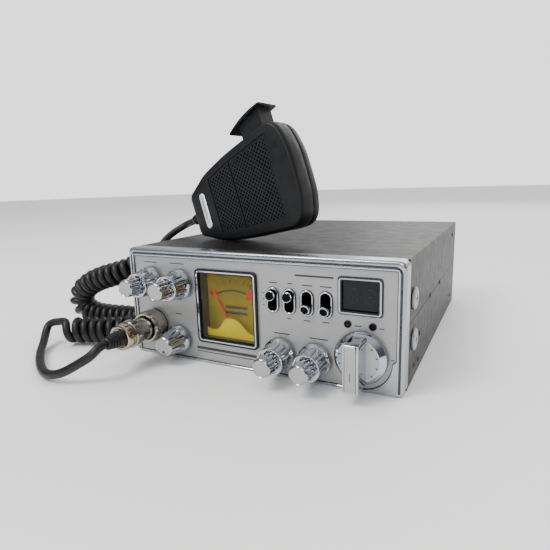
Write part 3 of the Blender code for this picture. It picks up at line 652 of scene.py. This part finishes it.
def bezel():
    wide, high = CASE[0], CASE[2]
    outline = [rounded(0.02 + inset, wide - 0.02 - inset, 0.02 + low, high - 0.02 - inset, 3.0 - inset * 0.5)
               for inset, low in ((1.25, 0.3), (0.75, 0.12), (0.32, 0.04), (0.08, 0.0), (0.0, 0.0))]
    levels = zip(outline, (0.0, 0.12, 0.5, 1.1, 1.8))
    body = [[(x, y, z) for x, z in ring] for ring, y in levels]
    body.append([(x, 8.0, z) for x, z in outline[-1]])
    made = piece("bezel_body", loft(body), "trim", stands_for=("front_bezel",), slot="silver_trim", sharp=50)
    carved(made, prism_y(plate_outline(GAP), -1.0, 2.9))
    carved(made, prism_y(rounded(6.5, 144.8, 3.6, 53.5, 2.0), 2.1, 9.0))
    left, right, bottom, top = PLATE
    out, turn = 1.75, 3.0            # the groove line's distance from the plate, and its corner radius
    level = top + out - turn
    path = [(left - out, 0.9), (left - out, level), *arc(left - out + turn, level, turn, 180, -90, 7)[1:],
            *arc(right + out - turn, level, turn, 90, -90, 7), (right + out, 1.6)]
    carved(made, open_band(path, 1.1, -0.6, 0.9))
    # Painted shade: a dark strip laid in the bottom of the carved groove.
    piece("bezel_groove_shade", open_band(path, 0.9, 0.7, 0.98), "groove", slot="silver_trim")
    soften(made, 0.12, 2, 50)
    rim = [(max(min(x, 151.0), 1.0), max(z, 0.75)) for x, z in plate_outline(0.72)]
    piece("bezel_inner_rim", band(rim, 0.62, -0.38, 0.6, 0.16), "chrome", slot="silver_trim", sharp=30)
    shadow = [(x, max(z, 1.15)) for x, z in plate_outline(0.12)]
    piece("plate_shadow_line", band(shadow, 0.3, 0.52, 0.75), "ink", slot="silver_trim")
    soften(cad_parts["face_plate"], 0.12)
    for name in ("top_cover", "bottom_cover"):
        soften(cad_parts[name], 0.7, 4)


def open_band(path, width, front, back):
    """Strip with square ends along an open (x, z) path."""
    points = [Vector(p) for p in path]
    rings = []
    for i, here in enumerate(points):
        before, after = points[max(i - 1, 0)], points[min(i + 1, len(points) - 1)]
        along = (after - before).normalized()
        side = Vector((-along.y, along.x)) * width / 2
        a, b = here - side, here + side
        rings.append([(a.x, front, a.y), (b.x, front, b.y), (b.x, back, b.y), (a.x, back, a.y)])
    return loft(rings)


def marks():
    """Short plain dashes where a control panel has its printing; no words."""
    level = (0.575, 0.66)
    dashes = [(15.0, 52.3, 9.0, 0.5), (33.2, 52.4, 9.4, 0.5), (32.4, 24.9, 4.6, 0.5), (94.3, 21.8, 8.2, 0.55),
              (113.2, 21.6, 9.4, 0.55), (90.2, 46.6, 4.2, 0.5), (99.0, 46.7, 2.4, 0.5), (107.8, 46.5, 5.4, 0.5),
              (116.8, 46.5, 5.6, 0.5), (98.4, 29.7, 2.2, 0.5), (107.5, 29.7, 3.4, 0.5), (116.7, 29.9, 3.4, 0.5),
              (131.6, 30.1, 3.2, 0.5), (142.2, 30.1, 2.4, 0.5), (147.2, 16.5, 1.5, 0.5), (85.0, 41.2, 1.1, 0.45),
              (85.0, 38.2, 1.1, 0.45), (85.0, 35.2, 1.1, 0.45), (111.1, 50.9, 19.0, 0.9), (62.0, 7.6, 38.0, 1.5),
              (62.0, 5.7, 38.0, 0.5)]
    bodies = [prism_y(rounded(x - w / 2, x + w / 2, z - h / 2, z + h / 2, h * 0.48, 3), *level)
              for x, z, w, h in dashes]
    for x in (94.5, 103.6):          # a bracket beside each pair of toggles
        for x1, z0, z1 in ((x + 0.25, 35.2, 41.0), (x + 1.0, 35.2, 35.45), (x + 1.0, 40.75, 41.0)):
            bodies.append(block(x, x1, *level, z0, z1))
    piece("panel_marks", merged(bodies), "ink", slot="silver_plate")


def screws():
    for side, x, direction in (("left", 0.4, 1), ("right", 151.9, -1)):
        for level, (y, z) in BRACKET_SCREWS.items():
            head = [(-1.6, 0.0), (-1.6, 2.6), (-1.55, 4.0), (-1.25, 4.9), (-0.9, 5.2), (-0.3, 5.2), (-0.3, 2.0),
                    (6.0, 2.0), (6.0, 0.0)]
            made = piece(f"{level}_{side}_screw_head", turned(head, (x, y, z), (direction, 0, 0), 40), "satin_tip",
                         stands_for=(f"{level}_{side}_bracket_screw",), slot="chrome", sharp=35)
            outer = x - direction * 1.6
            for long, high in ((2.4, 0.45), (0.45, 2.4)):
                carved(made, block(outer - 0.7, outer + 0.7, y - long, y + long, z - high, z + high))
        for i, (y, z) in enumerate(((66.8, 30.0), (102.1, 29.8), (36.5, 18.1), (35.4, 5.2), (24.8, 6.0), (160.0, 8.0),
                                    (160.0, 52.0))):
            head = [(-0.55, 0.0), (-0.5, 0.9), (-0.2, 1.45), (0.2, 1.5), (0.2, 0.0)]
            made = piece(f"{side}_cover_screw_{i + 1}", turned(head, (x, y, z), (direction, 0, 0), 20), "screw",
                         slot="black_paint")
            outer = x - direction * 0.55
            carved(made, block(outer - 0.25, outer + 0.25, y - 1.0, y + 1.0, z - 0.18, z + 0.18))


# ---------------- controls
def knob_piece(name, body, rides, sharp=32):
    """A chrome piece that stands for the frame's node it rides."""
    piece(name, body, "chrome", rides, "chrome", sharp, (rides,))


def dual_knob(name, axis):
    x, z = axis
    origin = (x, 0.0, z)
    outer = [(8.0, 3.0), (-0.75, 3.0), (-0.75, 8.0, 0), (-1.0, 8.2, 0), (-1.9, 8.2, 0), (-2.3, 8.0, 0),
             (-2.7, 7.5, 0), (-3.1, 7.25, 0), (-3.5, 7.2, 0.5), (-6.0, 7.05, 0.6), (-9.6, 6.8, 0.6), (-10.1, 6.75, 0.2),
             (-10.4, 6.75, 0), (-11.1, 6.7, 0), (-11.4, 6.5, 0), (-11.5, 6.25, 0), (-11.4, 5.65, 0),
             (-10.4, 5.5, 0), (-10.2, 1.8), (8.0, 1.8)]
    knob_piece(name + "_skirted_knob", turned(outer, origin, segments=112, ring=True, flutes=14, sharpness=7),
               name + "_outer_knob")
    inner = [(10.0, 1.5), (-10.4, 1.5), (-10.5, 4.8, 0.3), (-11.6, 5.05, 0.7), (-15.0, 4.9, 0.75), (-18.2, 4.7, 0.7),
             (-18.8, 4.6, 0.15), (-19.1, 4.5, 0), (-19.5, 4.25, 0), (-19.6, 4.05, 0), (-19.45, 3.9, 0), (-19.4, 0.0)]
    knob_piece(name + "_fluted_knob", turned(inner, origin, segments=96, flutes=12, sharpness=2), name + "_inner_knob")
    tip = [(-19.3, 0.0), (-19.3, 3.85), (-19.52, 3.85), (-19.56, 3.7), (-19.46, 2.6), (-19.42, 0.0)]
    piece(name + "_tip_disc", turned(tip, origin, segments=40), "satin_tip", rides=name + "_inner_knob", slot="chrome")


def clarifier_knob():
    x, z = CLARIFIER
    origin = (x, 0.0, z)
    body = [(8.0, 3.0), (-0.75, 3.0), (-0.75, 7.6, 0), (-1.0, 7.8, 0), (-2.1, 7.8, 0), (-2.6, 7.55, 0),
            (-3.1, 7.0, 0), (-3.7, 6.75, 0), (-4.2, 6.65, 0.6), (-8.0, 6.15, 0.7), (-12.2, 5.5, 0.6),
            (-12.8, 5.4, 0.15), (-13.2, 5.3, 0), (-13.8, 4.95, 0), (-14.0, 4.65, 0), (-13.85, 4.4, 0), (-13.8, 0.0)]
    knob_piece("clarifier_fluted_knob", turned(body, origin, segments=112, flutes=14, sharpness=5), "clarifier_knob")
    tip = [(-13.7, 0.0), (-13.7, 4.35), (-13.92, 4.35), (-13.97, 4.2), (-13.88, 3.0), (-13.84, 0.0)]
    piece("clarifier_tip_disc", turned(tip, origin, segments=40), "satin_tip", rides="clarifier_knob", slot="chrome")
    dot = [(-13.7, 0.0), (-13.7, 0.75), (-13.97, 0.75), (-13.99, 0.6), (-13.99, 0.0)]
    piece("clarifier_index_dot", turned(dot, (x + 0.4, 0.0, z - 2.8), segments=20), "ink", rides="clarifier_knob",
          slot="chrome")


def channel_knob():
    x, z = CHANNEL
    origin = (x, 0.0, z)
    disc = [(8.0, 3.0), (-0.75, 3.0), (-0.75, 11.8), (-1.0, 12.0), (-2.0, 12.0), (-2.5, 11.8), (-3.0, 11.4),
            (-4.6, 9.9), (-4.85, 9.65), (-4.9, 9.4), (-4.9, 0.0)]
    knob_piece("channel_disc", turned(disc, origin, segments=96), "channel_knob", 24)
    on_knob = {"rides": "channel_knob", "slot": "chrome"}
    face = [(-4.8, 0.0), (-4.8, 9.3), (-5.05, 9.25), (-5.1, 9.1), (-5.1, 0.0)]
    piece("channel_face", turned(face, origin, segments=72), "satin_tip", **on_knob)
    ticks = []
    for i in range(12):
        angle = 2 * pi * (i + 0.5) / 12
        spot = Vector((cos(angle), sin(angle)))
        side = Vector((-spot.y, spot.x)) * 0.3
        corners = [spot * r + side * s for r, s in ((8.1, -1), (9.0, -1), (9.0, 1), (8.1, 1))]
        ticks.append(prism_y([(x + c.x, z + c.y) for c in corners], -5.14, -5.0))
    piece("channel_ticks", merged(ticks), "ink", **on_knob)
    half_width, half_height, tip = 3.45, 10.9, -16.2
    rings = []
    for y, grow, radius in ((-4.0, 0.35, 1.1), (-5.2, 0.3, 1.1), (-14.9, 0.0, 0.9), (-15.8, -0.12, 0.9),
                            (-16.1, -0.4, 0.8), (tip, -0.75, 0.7)):
        outline = rounded(x - half_width - grow * 0.6, x + half_width + grow * 0.6, z - half_height - grow * 0.3,
                          z + half_height + grow * 0.3, radius, 4)
        rings.append([(a, y, b) for a, b in outline])
    piece("channel_bar", loft(rings), "chrome", **on_knob, sharp=28)
    inlay = rounded(x - 2.3, x + 2.3, z - 9.9, z + 9.9, 0.5, 4)
    piece("channel_bar_inlay", prism_y(inlay, tip - 0.02, tip + 0.3), "satin_tip", **on_knob)
    edges = [block(x + s - 0.14, x + s + 0.14, tip - 0.03, tip + 0.2, z - 9.8, z + 9.8) for s in (-2.45, 2.45)]
    edges.append(block(x - 0.17, x + 0.17, tip - 0.04, tip + 0.2, z - 5.4, z - 1.2))
    piece("channel_bar_lines", merged(edges), "ink", **on_knob)


def toggles():
    for number, (x, tilt) in enumerate(TOGGLES, start=1):
        rim = band(oval(x, TOGGLE_Z, 5.6, 11.6), 0.75, -0.35, 0.5, 0.14)
        piece(f"toggle_rim_{number}", rim, "chrome", slot="dark_plastic", sharp=30)
        line = band(oval(x, TOGGLE_Z, 6.7, 12.7), 0.22, 0.56, 0.68)
        piece(f"toggle_outline_{number}", line, "ink", slot="silver_plate")
        angle = radians(tilt)
        pivot = (x, 6.0, TOGGLE_Z)
        along = (0, -cos(angle), sin(angle))
        reach = 9.0 / cos(angle)
        bat = [(-1.6, 0.0), (-1.2, 1.2), (0.0, 1.6), (1.5, 1.3), (reach - 5.0, 1.75), (reach - 1.0, 2.3),
               (reach - 0.35, 2.4), (reach - 0.08, 2.3), (reach, 2.1), (reach - 0.02, 1.9), (reach - 0.3, 1.8),
               (reach - 0.3, 0.0)]
        body = f"toggle_lever_{number}"
        knob_piece(f"toggle_bat_{number}", turned(bat, pivot, along, 36), body, 35)
        end = [(reach - 0.4, 0.0), (reach - 0.4, 1.8), (reach - 0.16, 1.8), (reach - 0.05, 1.3), (reach - 0.02, 0.0)]
        piece(f"toggle_end_{number}", turned(end, pivot, along, 28), "dark", rides=body, slot="chrome")


# ---------------- meter and display
def dial_point(angle, radius):
    """(x, z) on the dial; angle in degrees from straight up, clockwise."""
    a = radians(angle)
    return (DIAL_CENTRE[0] + radius * sin(a), DIAL_CENTRE[1] + radius * cos(a))


def on_dial(name, body, look="dial_ink"):
    piece(name, body, look, slot="meter_face")


def dial_sector(first, last, inner, outer, steps=18):
    angles = [first + (last - first) * i / steps for i in range(steps + 1)]
    outline = [dial_point(a, outer) for a in angles] + [dial_point(a, inner) for a in reversed(angles)]
    return prism_y(outline, DIAL_FRONT - 0.1, DIAL_FRONT + 0.2)


def meter():
    left, right, bottom, top = METER
    # Painted shade: the black band outside the bright rim and the dark band inside it darken the meter's edges where
    # shade falls.
    for name, look, inset, radius, strip in (("meter_shade_band", "plastic", 0.3, 1.9, (0.6, -0.3, 0.58, 0.15)),
                                             ("meter_bright_rim", "chrome", 1.25, 1.4, (1.3, -0.72, 0.4, 0.5)),
                                             ("meter_inner_shade_band", "dark", 2.1, 1.0, (0.5, -0.2, 0.9, 0.1))):
        piece(name, band(inset_box(METER, inset, radius), *strip), look, slot="dark_plastic", sharp=30)
    cavity = inset_box(METER, 2.35, 0.8)
    walls = loft([[(x, y, z) for x, z in ring] for ring, y in
                  ((cavity, 1.3), (cavity, DIAL_FRONT - 0.05), (offset(cavity, -0.25), DIAL_FRONT - 0.05),
                   (offset(cavity, -0.25), 1.3))], closed=False)
    ends = list(walls.verts)
    count = len(cavity)
    for i in range(count):
        j = (i + 1) % count
        walls.faces.new((ends[i], ends[j], ends[3 * count + j], ends[3 * count + i]))
    bmesh.ops.recalc_face_normals(walls, faces=walls.faces)
    on_dial("meter_walls", walls, "olive")
    x0, x1, z0, z1 = left + 3.0, right - 3.0, bottom + 2.6, top - 3.0
    hump = [(x0, z0), (x1, z0), (x1, 17.0), (75.8, 17.2), (74.2, 17.6), (72.8, 18.4), (71.0, 20.2), (69.2, 22.0),
            (67.2, 23.6), (65.2, 24.3), (62.6, 24.5), (60.6, 24.1), (59.0, 23.0), (57.4, 20.8), (55.6, 18.6),
            (53.8, 17.6), (51.6, 17.4), (49.8, 17.8), (x0, 18.3)]
    smooth = [hump[0], hump[1]] + curve_between(hump[2:])
    on_dial("dial_hump", prism_y(smooth, 4.1, 4.5), "dial_hump")
    shade = [(x, z + 0.8) for x, z in smooth[2:]]
    rim = list(reversed(smooth[2:]))
    on_dial("dial_hump_shade", prism_y([(max(min(x, x1), x0), z) for x, z in shade + rim], 4.15, 4.45), "dial_edge")
    on_dial("dial_scale_line", dial_sector(-25, 19, 23.0, 24.0))
    ticks = []
    for i in range(11):
        angle = -21 + i * 4.2
        tall = 1.9 if i % 2 == 0 else 1.1
        half = 0.45 if i % 2 == 0 else 0.3
        ticks.append(dial_sector(angle - half, angle + half, 27.4, 27.4 + tall, 1))
    for i in range(9):
        angle = -20 + i * 5
        ticks.append(dial_sector(angle - 0.35, angle + 0.35, 20.6, 21.5, 1))
    on_dial("dial_ticks", merged(ticks))
    zones = ((19.5, 27, 21.0, 26.4), (-36, -30, 24.0, 26.6), (-28.5, -25.2, 22.6, 24.6))
    on_dial("dial_red_zones", merged([dial_sector(*zone) for zone in zones]), "dial_red")
    bars = [prism_y(rounded(58.4, 71.8, z, z + 1.6, 0.3, 2), DIAL_FRONT - 0.08, DIAL_FRONT + 0.2)
            for z in (26.2, 29.2)]
    on_dial("dial_plain_bars", merged(bars))
    pivot = [(-0.4, 0.0), (-0.4, 1.3), (-0.2, 1.6), (1.0, 1.6), (1.0, 0.0)]
    piece("needle_hub", turned(pivot, (DIAL_CENTRE[0], 5.0, DIAL_CENTRE[1]), segments=24), "plastic",
          rides="meter_needle", slot="needle_red")


def curve_between(points, steps=5):
    """Smooth (x, z) curve through points, open at both ends."""
    ends = [points[0]] + list(points) + [points[-1]]
    line = []
    for i in range(1, len(ends) - 2):
        a, b, c, d = (Vector(p) for p in ends[i - 1:i + 3])
        line += [tuple(catmull(a, b, c, d, k / steps)) for k in range(steps)]
    return line + [tuple(points[-1])]


# The ends of each bar of a seven-bar figure, in half widths and half heights.
SEGMENTS = (((-0.72, 1.0), (0.72, 1.0)), ((-0.72, 0.0), (0.72, 0.0)), ((-0.72, -1.0), (0.72, -1.0)),
            ((-1.0, 0.12), (-1.0, 0.88)), ((1.0, 0.12), (1.0, 0.88)), ((-1.0, -0.88), (-1.0, -0.12)),
            ((1.0, -0.88), (1.0, -0.12)))


def display():
    rim = band(inset_box(DISPLAY, 0.7, 1.1), 1.4, -0.32, 0.5, 0.2)
    piece("display_rim", rim, "trim", slot="silver_trim", sharp=30)
    line = band(inset_box(DISPLAY, -0.2, 1.7), 0.26, 0.54, 0.68)
    piece("display_outline", line, "ink", slot="silver_plate")
    bars = []
    for x in (129.7, 137.0):
        for (ax, az), (bx, bz) in SEGMENTS:
            a = Vector((x + ax * 1.7 + az * 0.2, 43.6 + az * 3.1))
            b = Vector((x + bx * 1.7 + bz * 0.2, 43.6 + bz * 3.1))
            along = (b - a).normalized() * 0.36
            side = Vector((-along.y, along.x))
            corners = [a, a + along - side, b - along - side, b, b - along + side, a + along + side]
            bars.append(prism_y([tuple(c) for c in corners], 0.9, 1.2))
    piece("display_segments", merged(bars), "ghost", slot="smoked_window")
    for name, (x, z) in LAMPS.items():
        ring = [(-0.32, 1.3), (-0.32, 1.45), (-0.1, 1.65), (0.62, 1.65), (0.62, 1.3)]
        piece(name + "_bush", turned(ring, (x, 0.0, z), segments=32, ring=True), "plastic", slot="dark_plastic")
        dome = [(-0.35, 0.0), (-0.25, 0.5), (0.0, 0.85), (0.3, 0.9), (2.0, 0.9), (2.0, 0.0)]
        piece(name + "_lens", turned(dome, (x, 0.0, z), segments=24), "ghost", slot="smoked_window")


# ---------------- microphone connector
def connector():
    x, z = PLUG
    origin = (x, 0.0, z)
    ring = [(-0.9, 6.05, 0), (-0.9, 8.5, 0), (-1.3, 8.7, 0), (-1.6, 8.7, 0.22), (-6.6, 8.7, 0.22), (-6.9, 8.7, 0),
            (-7.5, 8.65, 0), (-8.7, 7.9, 0), (-8.8, 7.6, 0), (-8.8, 7.0, 0), (-8.0, 6.75, 0), (-7.6, 6.05, 0)]
    grip = piece("knurled_ring", turned(ring, origin, segments=192, ring=True, flutes=48, sharpness=1), "nickel",
                 rides="coupling_ring", slot="nickel", stands_for=("coupling_ring",), sharp=30)
    barrel = [(1.5, 5.4), (-8.3, 5.4), (-8.3, 5.7), (-9.0, 6.3), (-9.4, 6.55), (-16.8, 6.6), (-16.9, 7.0),
              (-17.2, 7.3), (-21.2, 7.3), (-21.6, 7.0), (-21.8, 6.2), (-22.5, 6.1), (-22.8, 6.5), (-23.1, 6.7),
              (-26.3, 6.7), (-26.8, 6.45), (-27.0, 6.0), (-26.9, 5.0), (-26.6, 4.6), (-26.6, 0.0)]
    plug = piece("plug_barrel", turned(barrel, origin, segments=64), "nickel", slot="nickel",
                 stands_for=("mic_plug",), sharp=32)
    cuff = [(-23.0, 6.3), (-23.1, 6.78), (-26.3, 6.78), (-26.85, 6.5), (-27.02, 6.0), (-26.9, 5.6), (-26.0, 5.6),
            (-23.0, 5.6)]
    piece("plug_end_ring", turned(cuff, origin, segments=64, ring=True), "warm_nickel", slot="nickel", sharp=32)
    screw = [(-7.45, 0.0), (-7.45, 0.8), (-7.2, 1.0), (-6.2, 1.0), (-6.2, 0.0)]
    piece("plug_clamp_screw", turned(screw, (x, -19.3, z), (0.5, 0, -0.86), 20), "screw", slot="nickel")
    boot = [(-26.0, 4.2), (-27.4, 4.3), (-29.0, 4.25)]
    for k in range(4):
        y = -29.4 - k * 1.5
        r = 4.1 - k * 0.25
        boot += [(y, r), (y - 0.7, r - 0.05), (y - 0.8, r - 0.5), (y - 1.3, r - 0.55), (y - 1.4, r - 0.12)]
    boot += [(-35.4, 3.05), (-35.9, 2.85), (-36.3, 2.5), (-36.3, 0.0)]
    relief = piece("plug_strain_relief", turned(boot, origin, segments=32), "rubber", slot="rubber",
                   stands_for=("plug_boot",), sharp=35)
    return grip, plug, relief


# ---------------- microphone
def mic_loft(levels):
    return loft([[(u, v, w) for u, v in mic_outline(inset)] for inset, w in levels])


MIC_KIND = {"rides": "microphone", "slot": "dark_plastic", "transform": mic_at}


def mic_piece(name, body, look="dark", **kind):
    return piece(name, body, look, **{**MIC_KIND, **kind})


def mic_block(u0, u1, v0, v1, w0, w1):
    return slab([(u0, v0), (u1, v0), (u1, v1), (u0, v1)], w0, w1)


def microphone():
    front = [(0.25, 0.15), (0.0, 0.6), (0.0, 4.0), (0.08, 6.8), (0.25, 8.4), (0.5, 9.3), (0.9, 9.95), (1.4, 10.35),
             (1.9, MIC_FACE)]
    shell = mic_piece("mic_grille_shell", mic_loft(front), "plastic", stands_for=("mic_front_shell",))
    carved(shell, slab(mic_field(-12.4, 37.2, 5.2), MIC_FACE - 0.5, MIC_FACE + 1), mic_at)
    panels = {"left": mic_field(-10.8, 5.6, 6.8), "right": mic_field(7.8, 34.8, 6.8)}
    for name, outline in panels.items():
        carved(shell, slab(outline, MIC_FACE - 1.5, MIC_FACE + 1), mic_at)
        bars = grille(outline, 1.9, 1.05, MIC_FACE - 0.5, MIC_FACE - 1.3)
        mic_piece("mic_grille_" + name, bars, "grille", sharp=50)
        mic_piece("mic_gauze_" + name, slab(outline, MIC_FACE - 1.48, MIC_FACE - 1.38))
    carved(shell, mic_block(6.2, 7.1, -19.4, 19.4, MIC_FACE - 1.2, MIC_FACE + 1), mic_at)
    press_slot = (17.0, 34.1, 15.0, 34.0, -6.2, 6.2)
    carved(shell, mic_block(*press_slot), mic_at)
    badge = [(u - 20.8, v - 0.3) for u, v in oval(0.0, 0.0, 4.4, 21.4)]
    rings = [[(u, v, w) for u, v in offset(badge, -inset)] for inset, w in ((0.0, 10.4), (0.0, 10.75), (0.35, 11.0))]
    mic_piece("mic_badge", loft(rings), "badge", slot="silver_trim", sharp=30)
    mic_piece("mic_badge_line", slab(oval(-20.8, -0.3, 0.5, 16.6), 10.9, 11.03), "groove", slot="silver_trim")
    back = [(0.25, -0.15), (0.0, -0.6), (0.15, -2.6), (0.45, -4.6), (1.1, -6.4), (2.1, -8.1), (3.3, -9.4),
            (4.7, -10.2), (6.2, -MIC_FACE)]
    rear_shell = mic_piece("mic_back_shell", mic_loft(back), "plastic", stands_for=("mic_rear_shell",))
    carved(rear_shell, mic_block(*press_slot), mic_at)
    button = [(-0.5, 5.6), (0.2, 5.4), (0.8, 5.0), (5.0, 4.9), (5.6, 5.2), (6.2, 6.2), (6.8, 6.5), (7.4, 6.5),
              (7.7, 6.2), (7.7, 3.4), (7.2, 3.0), (7.2, 0.0)]
    mic_piece("mic_hang_up_button", turned(button, (26.0, 0.0, -MIC_FACE), (0, 0, -1), 40), "nickel", sharp=35)
    head = [(-0.4, 0.0), (-0.4, 2.3), (0.15, 2.3), (0.35, 1.9), (0.45, 0.0)]
    for i, (u, v) in enumerate(((-24.0, 0.0), (10.0, -15.5), (10.0, 15.5))):
        made = mic_piece(f"mic_back_screw_{i + 1}", turned(head, (u, v, -MIC_FACE), (0, 0, -1), 24), "screw")
        carved(made, mic_block(u - 1.6, u + 1.6, v - 0.25, v + 0.25, -MIC_FACE - 0.6, -MIC_FACE - 0.2), mic_at)
    mic_piece("mic_seam", slab(mic_outline(0.35), -0.2, 0.2))
    press_bar()
    boot = [(31.4, 0.0), (31.4, 5.4), (32.4, 5.3), (33.0, 4.9)]
    for k in range(5):
        d = 33.6 + k * 1.6
        r = 4.75 - k * 0.3
        boot += [(d, r), (d + 0.8, r - 0.05), (d + 0.95, r - 0.45), (d + 1.35, r - 0.5), (d + 1.5, r - 0.15)]
    boot += [(42.4, 3.2), (43.4, 3.0), (44.0, 2.6), (44.1, 0.0)]
    mic_piece("mic_strain_relief", turned(boot, (0, 0, 0), (-1, 0, 0), 36), "rubber", slot="rubber",
              stands_for=("mic_boot",))


def press_bar():
    """The press-to-talk bar: an arched plate with ribbed ends, on a stem that goes into the slot."""
    middle, reach, steps = 23.7, 12.5, 28

    def on_top(t):
        """Point of the arch, for t from -1 at the cord side to 1 at the round end."""
        return middle + reach * t, 38.8 - 1.6 * t * t + 3.2 * t

    top = [on_top(2 * i / steps - 1) for i in range(steps + 1)]
    bottom = [(u, v - 2.0 + 0.9 * abs((u - middle) / reach) ** 2) for u, v in reversed(top)]
    outline = list(reversed(top + bottom))
    rings = [[(u, v, w) for u, v in offset(outline, -inset)] for w, inset in
             ((-8.0, 0.45), (-7.6, 0.12), (-6.8, 0.0), (6.8, 0.0), (7.6, 0.12), (8.0, 0.45))]
    ribs = []
    for end in (-1, 1):
        for k in range(5):
            u, v = on_top(end * (0.62 + 0.08 * k))
            ribs.append(mic_block(u - 0.35, u + 0.35, v - 1.0, v + 0.1, -7.0, 7.0))
    stem = slab([(17.7, 20.2), (33.4, 20.2), (33.4, 39.2), (17.7, 35.8)], -5.5, 5.5)
    made = mic_piece("press_bar_plate", merged([loft(rings), stem] + ribs), "plastic", sharp=35,
                     rides="press_to_talk_bar", stands_for=("press_to_talk_bar",))
    soften(made, 0.25)


# ---------------- back and underside
def rear():
    base = 178.8
    thread = [(-10.0, 6.2), (0.3, 6.2), (0.3, 9.0), (0.9, 9.0), (1.2, 8.7), (2.0, 8.6), (2.2, 7.8)]
    y = 2.6
    while y < 12.2:
        thread += [(y, 7.85), (y + 0.25, 7.45)]
        y += 0.55
    thread += [(12.6, 7.6), (13.0, 7.2), (13.0, 5.6), (2.5, 5.6), (2.5, 2.4), (-8.0, 2.4), (-8.0, 1.2), (-10.0, 1.2)]
    piece("antenna_connector", turned(thread, (118.0, base, 30.0), segments=48, ring=True), "nickel", slot="nickel",
          stands_for=("antenna_socket",), sharp=30)
    insulator = [(2.0, 5.4), (8.5, 5.4), (8.8, 5.1), (8.8, 1.6), (2.0, 1.6)]
    piece("antenna_insulator", turned(insulator, (118.0, base, 30.0), segments=32, ring=True), "cone",
          slot="dark_plastic")
    pins = [turned([(-4.0, 0.0), (-4.0, 1.1), (1.6, 1.1), (2.2, 0.7), (2.2, 0.0)], (x, base, 30.0), segments=20)
            for x in (33.4, 38.6)]
    piece("power_pins", merged(pins), "nickel", slot="nickel")
    for name in ("power_socket", "speaker_jack"):
        soften(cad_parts[name], 0.3)
    fins = [block(x, x + 1.4, base - 0.2, base + 5.0, 8.0, 52.0)
            for x in (52.0, 56.0, 78.0, 82.0, 86.0, 90.0, 94.0, 98.0)]
    made = piece("heat_sink_fins", merged(fins), "paint", slot="black_paint")
    soften(made, 0.2)
    for i, (x, z) in enumerate(((6.0, 8.0), (6.0, 52.0), (146.3, 8.0), (146.3, 52.0), (106.0, 18.0), (130.0, 42.0))):
        head = [(-0.2, 0.0), (-0.2, 2.4), (0.6, 2.4), (1.1, 1.7), (1.25, 0.0)]
        made = piece(f"rear_screw_{i + 1}", turned(head, (x, base, z), segments=24), "screw", slot="zinc_steel")
        carved(made, block(x - 1.7, x + 1.7, base + 0.85, base + 1.6, z - 0.22, z + 0.22))


NODE_LOOKS = {
    "paint": ("top_cover", "bottom_cover", "rear_panel"),
    "zinc": ("chassis_frame", "channel_switch", "clarifier_potentiometer", "mic_capsule",
             *(name + "_potentiometer" for name in DUALS)),
    "plate": ("face_plate",), "nickel": ("speaker_jack", "mic_socket"),
    "plastic": ("power_socket", "toggle_switch_1", "toggle_switch_2", "toggle_switch_3", "toggle_switch_4",
                "meter_case", "display_module"),
    "board": ("front_board", "main_board"), "dial": ("meter_dial",), "dial_red": ("meter_needle",),
    "clear": ("meter_window",), "glass": ("display_window", "transmit_lamp", "warning_lamp"), "cone": ("speaker",)}


def node_looks():
    for look, names in NODE_LOOKS.items():
        for name in names:
            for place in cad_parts[name].material_slots:
                place.material = LOOK[look]


def main():
    studio()
    lead, path = cord()
    node_looks()
    bezel()
    marks()
    screws()
    for name, axis in DUALS.items():
        dual_knob(name, axis)
    clarifier_knob()
    channel_knob()
    toggles()
    meter()
    display()
    grip, plug, relief = connector()
    microphone()
    rear()
    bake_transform(lead)


main()
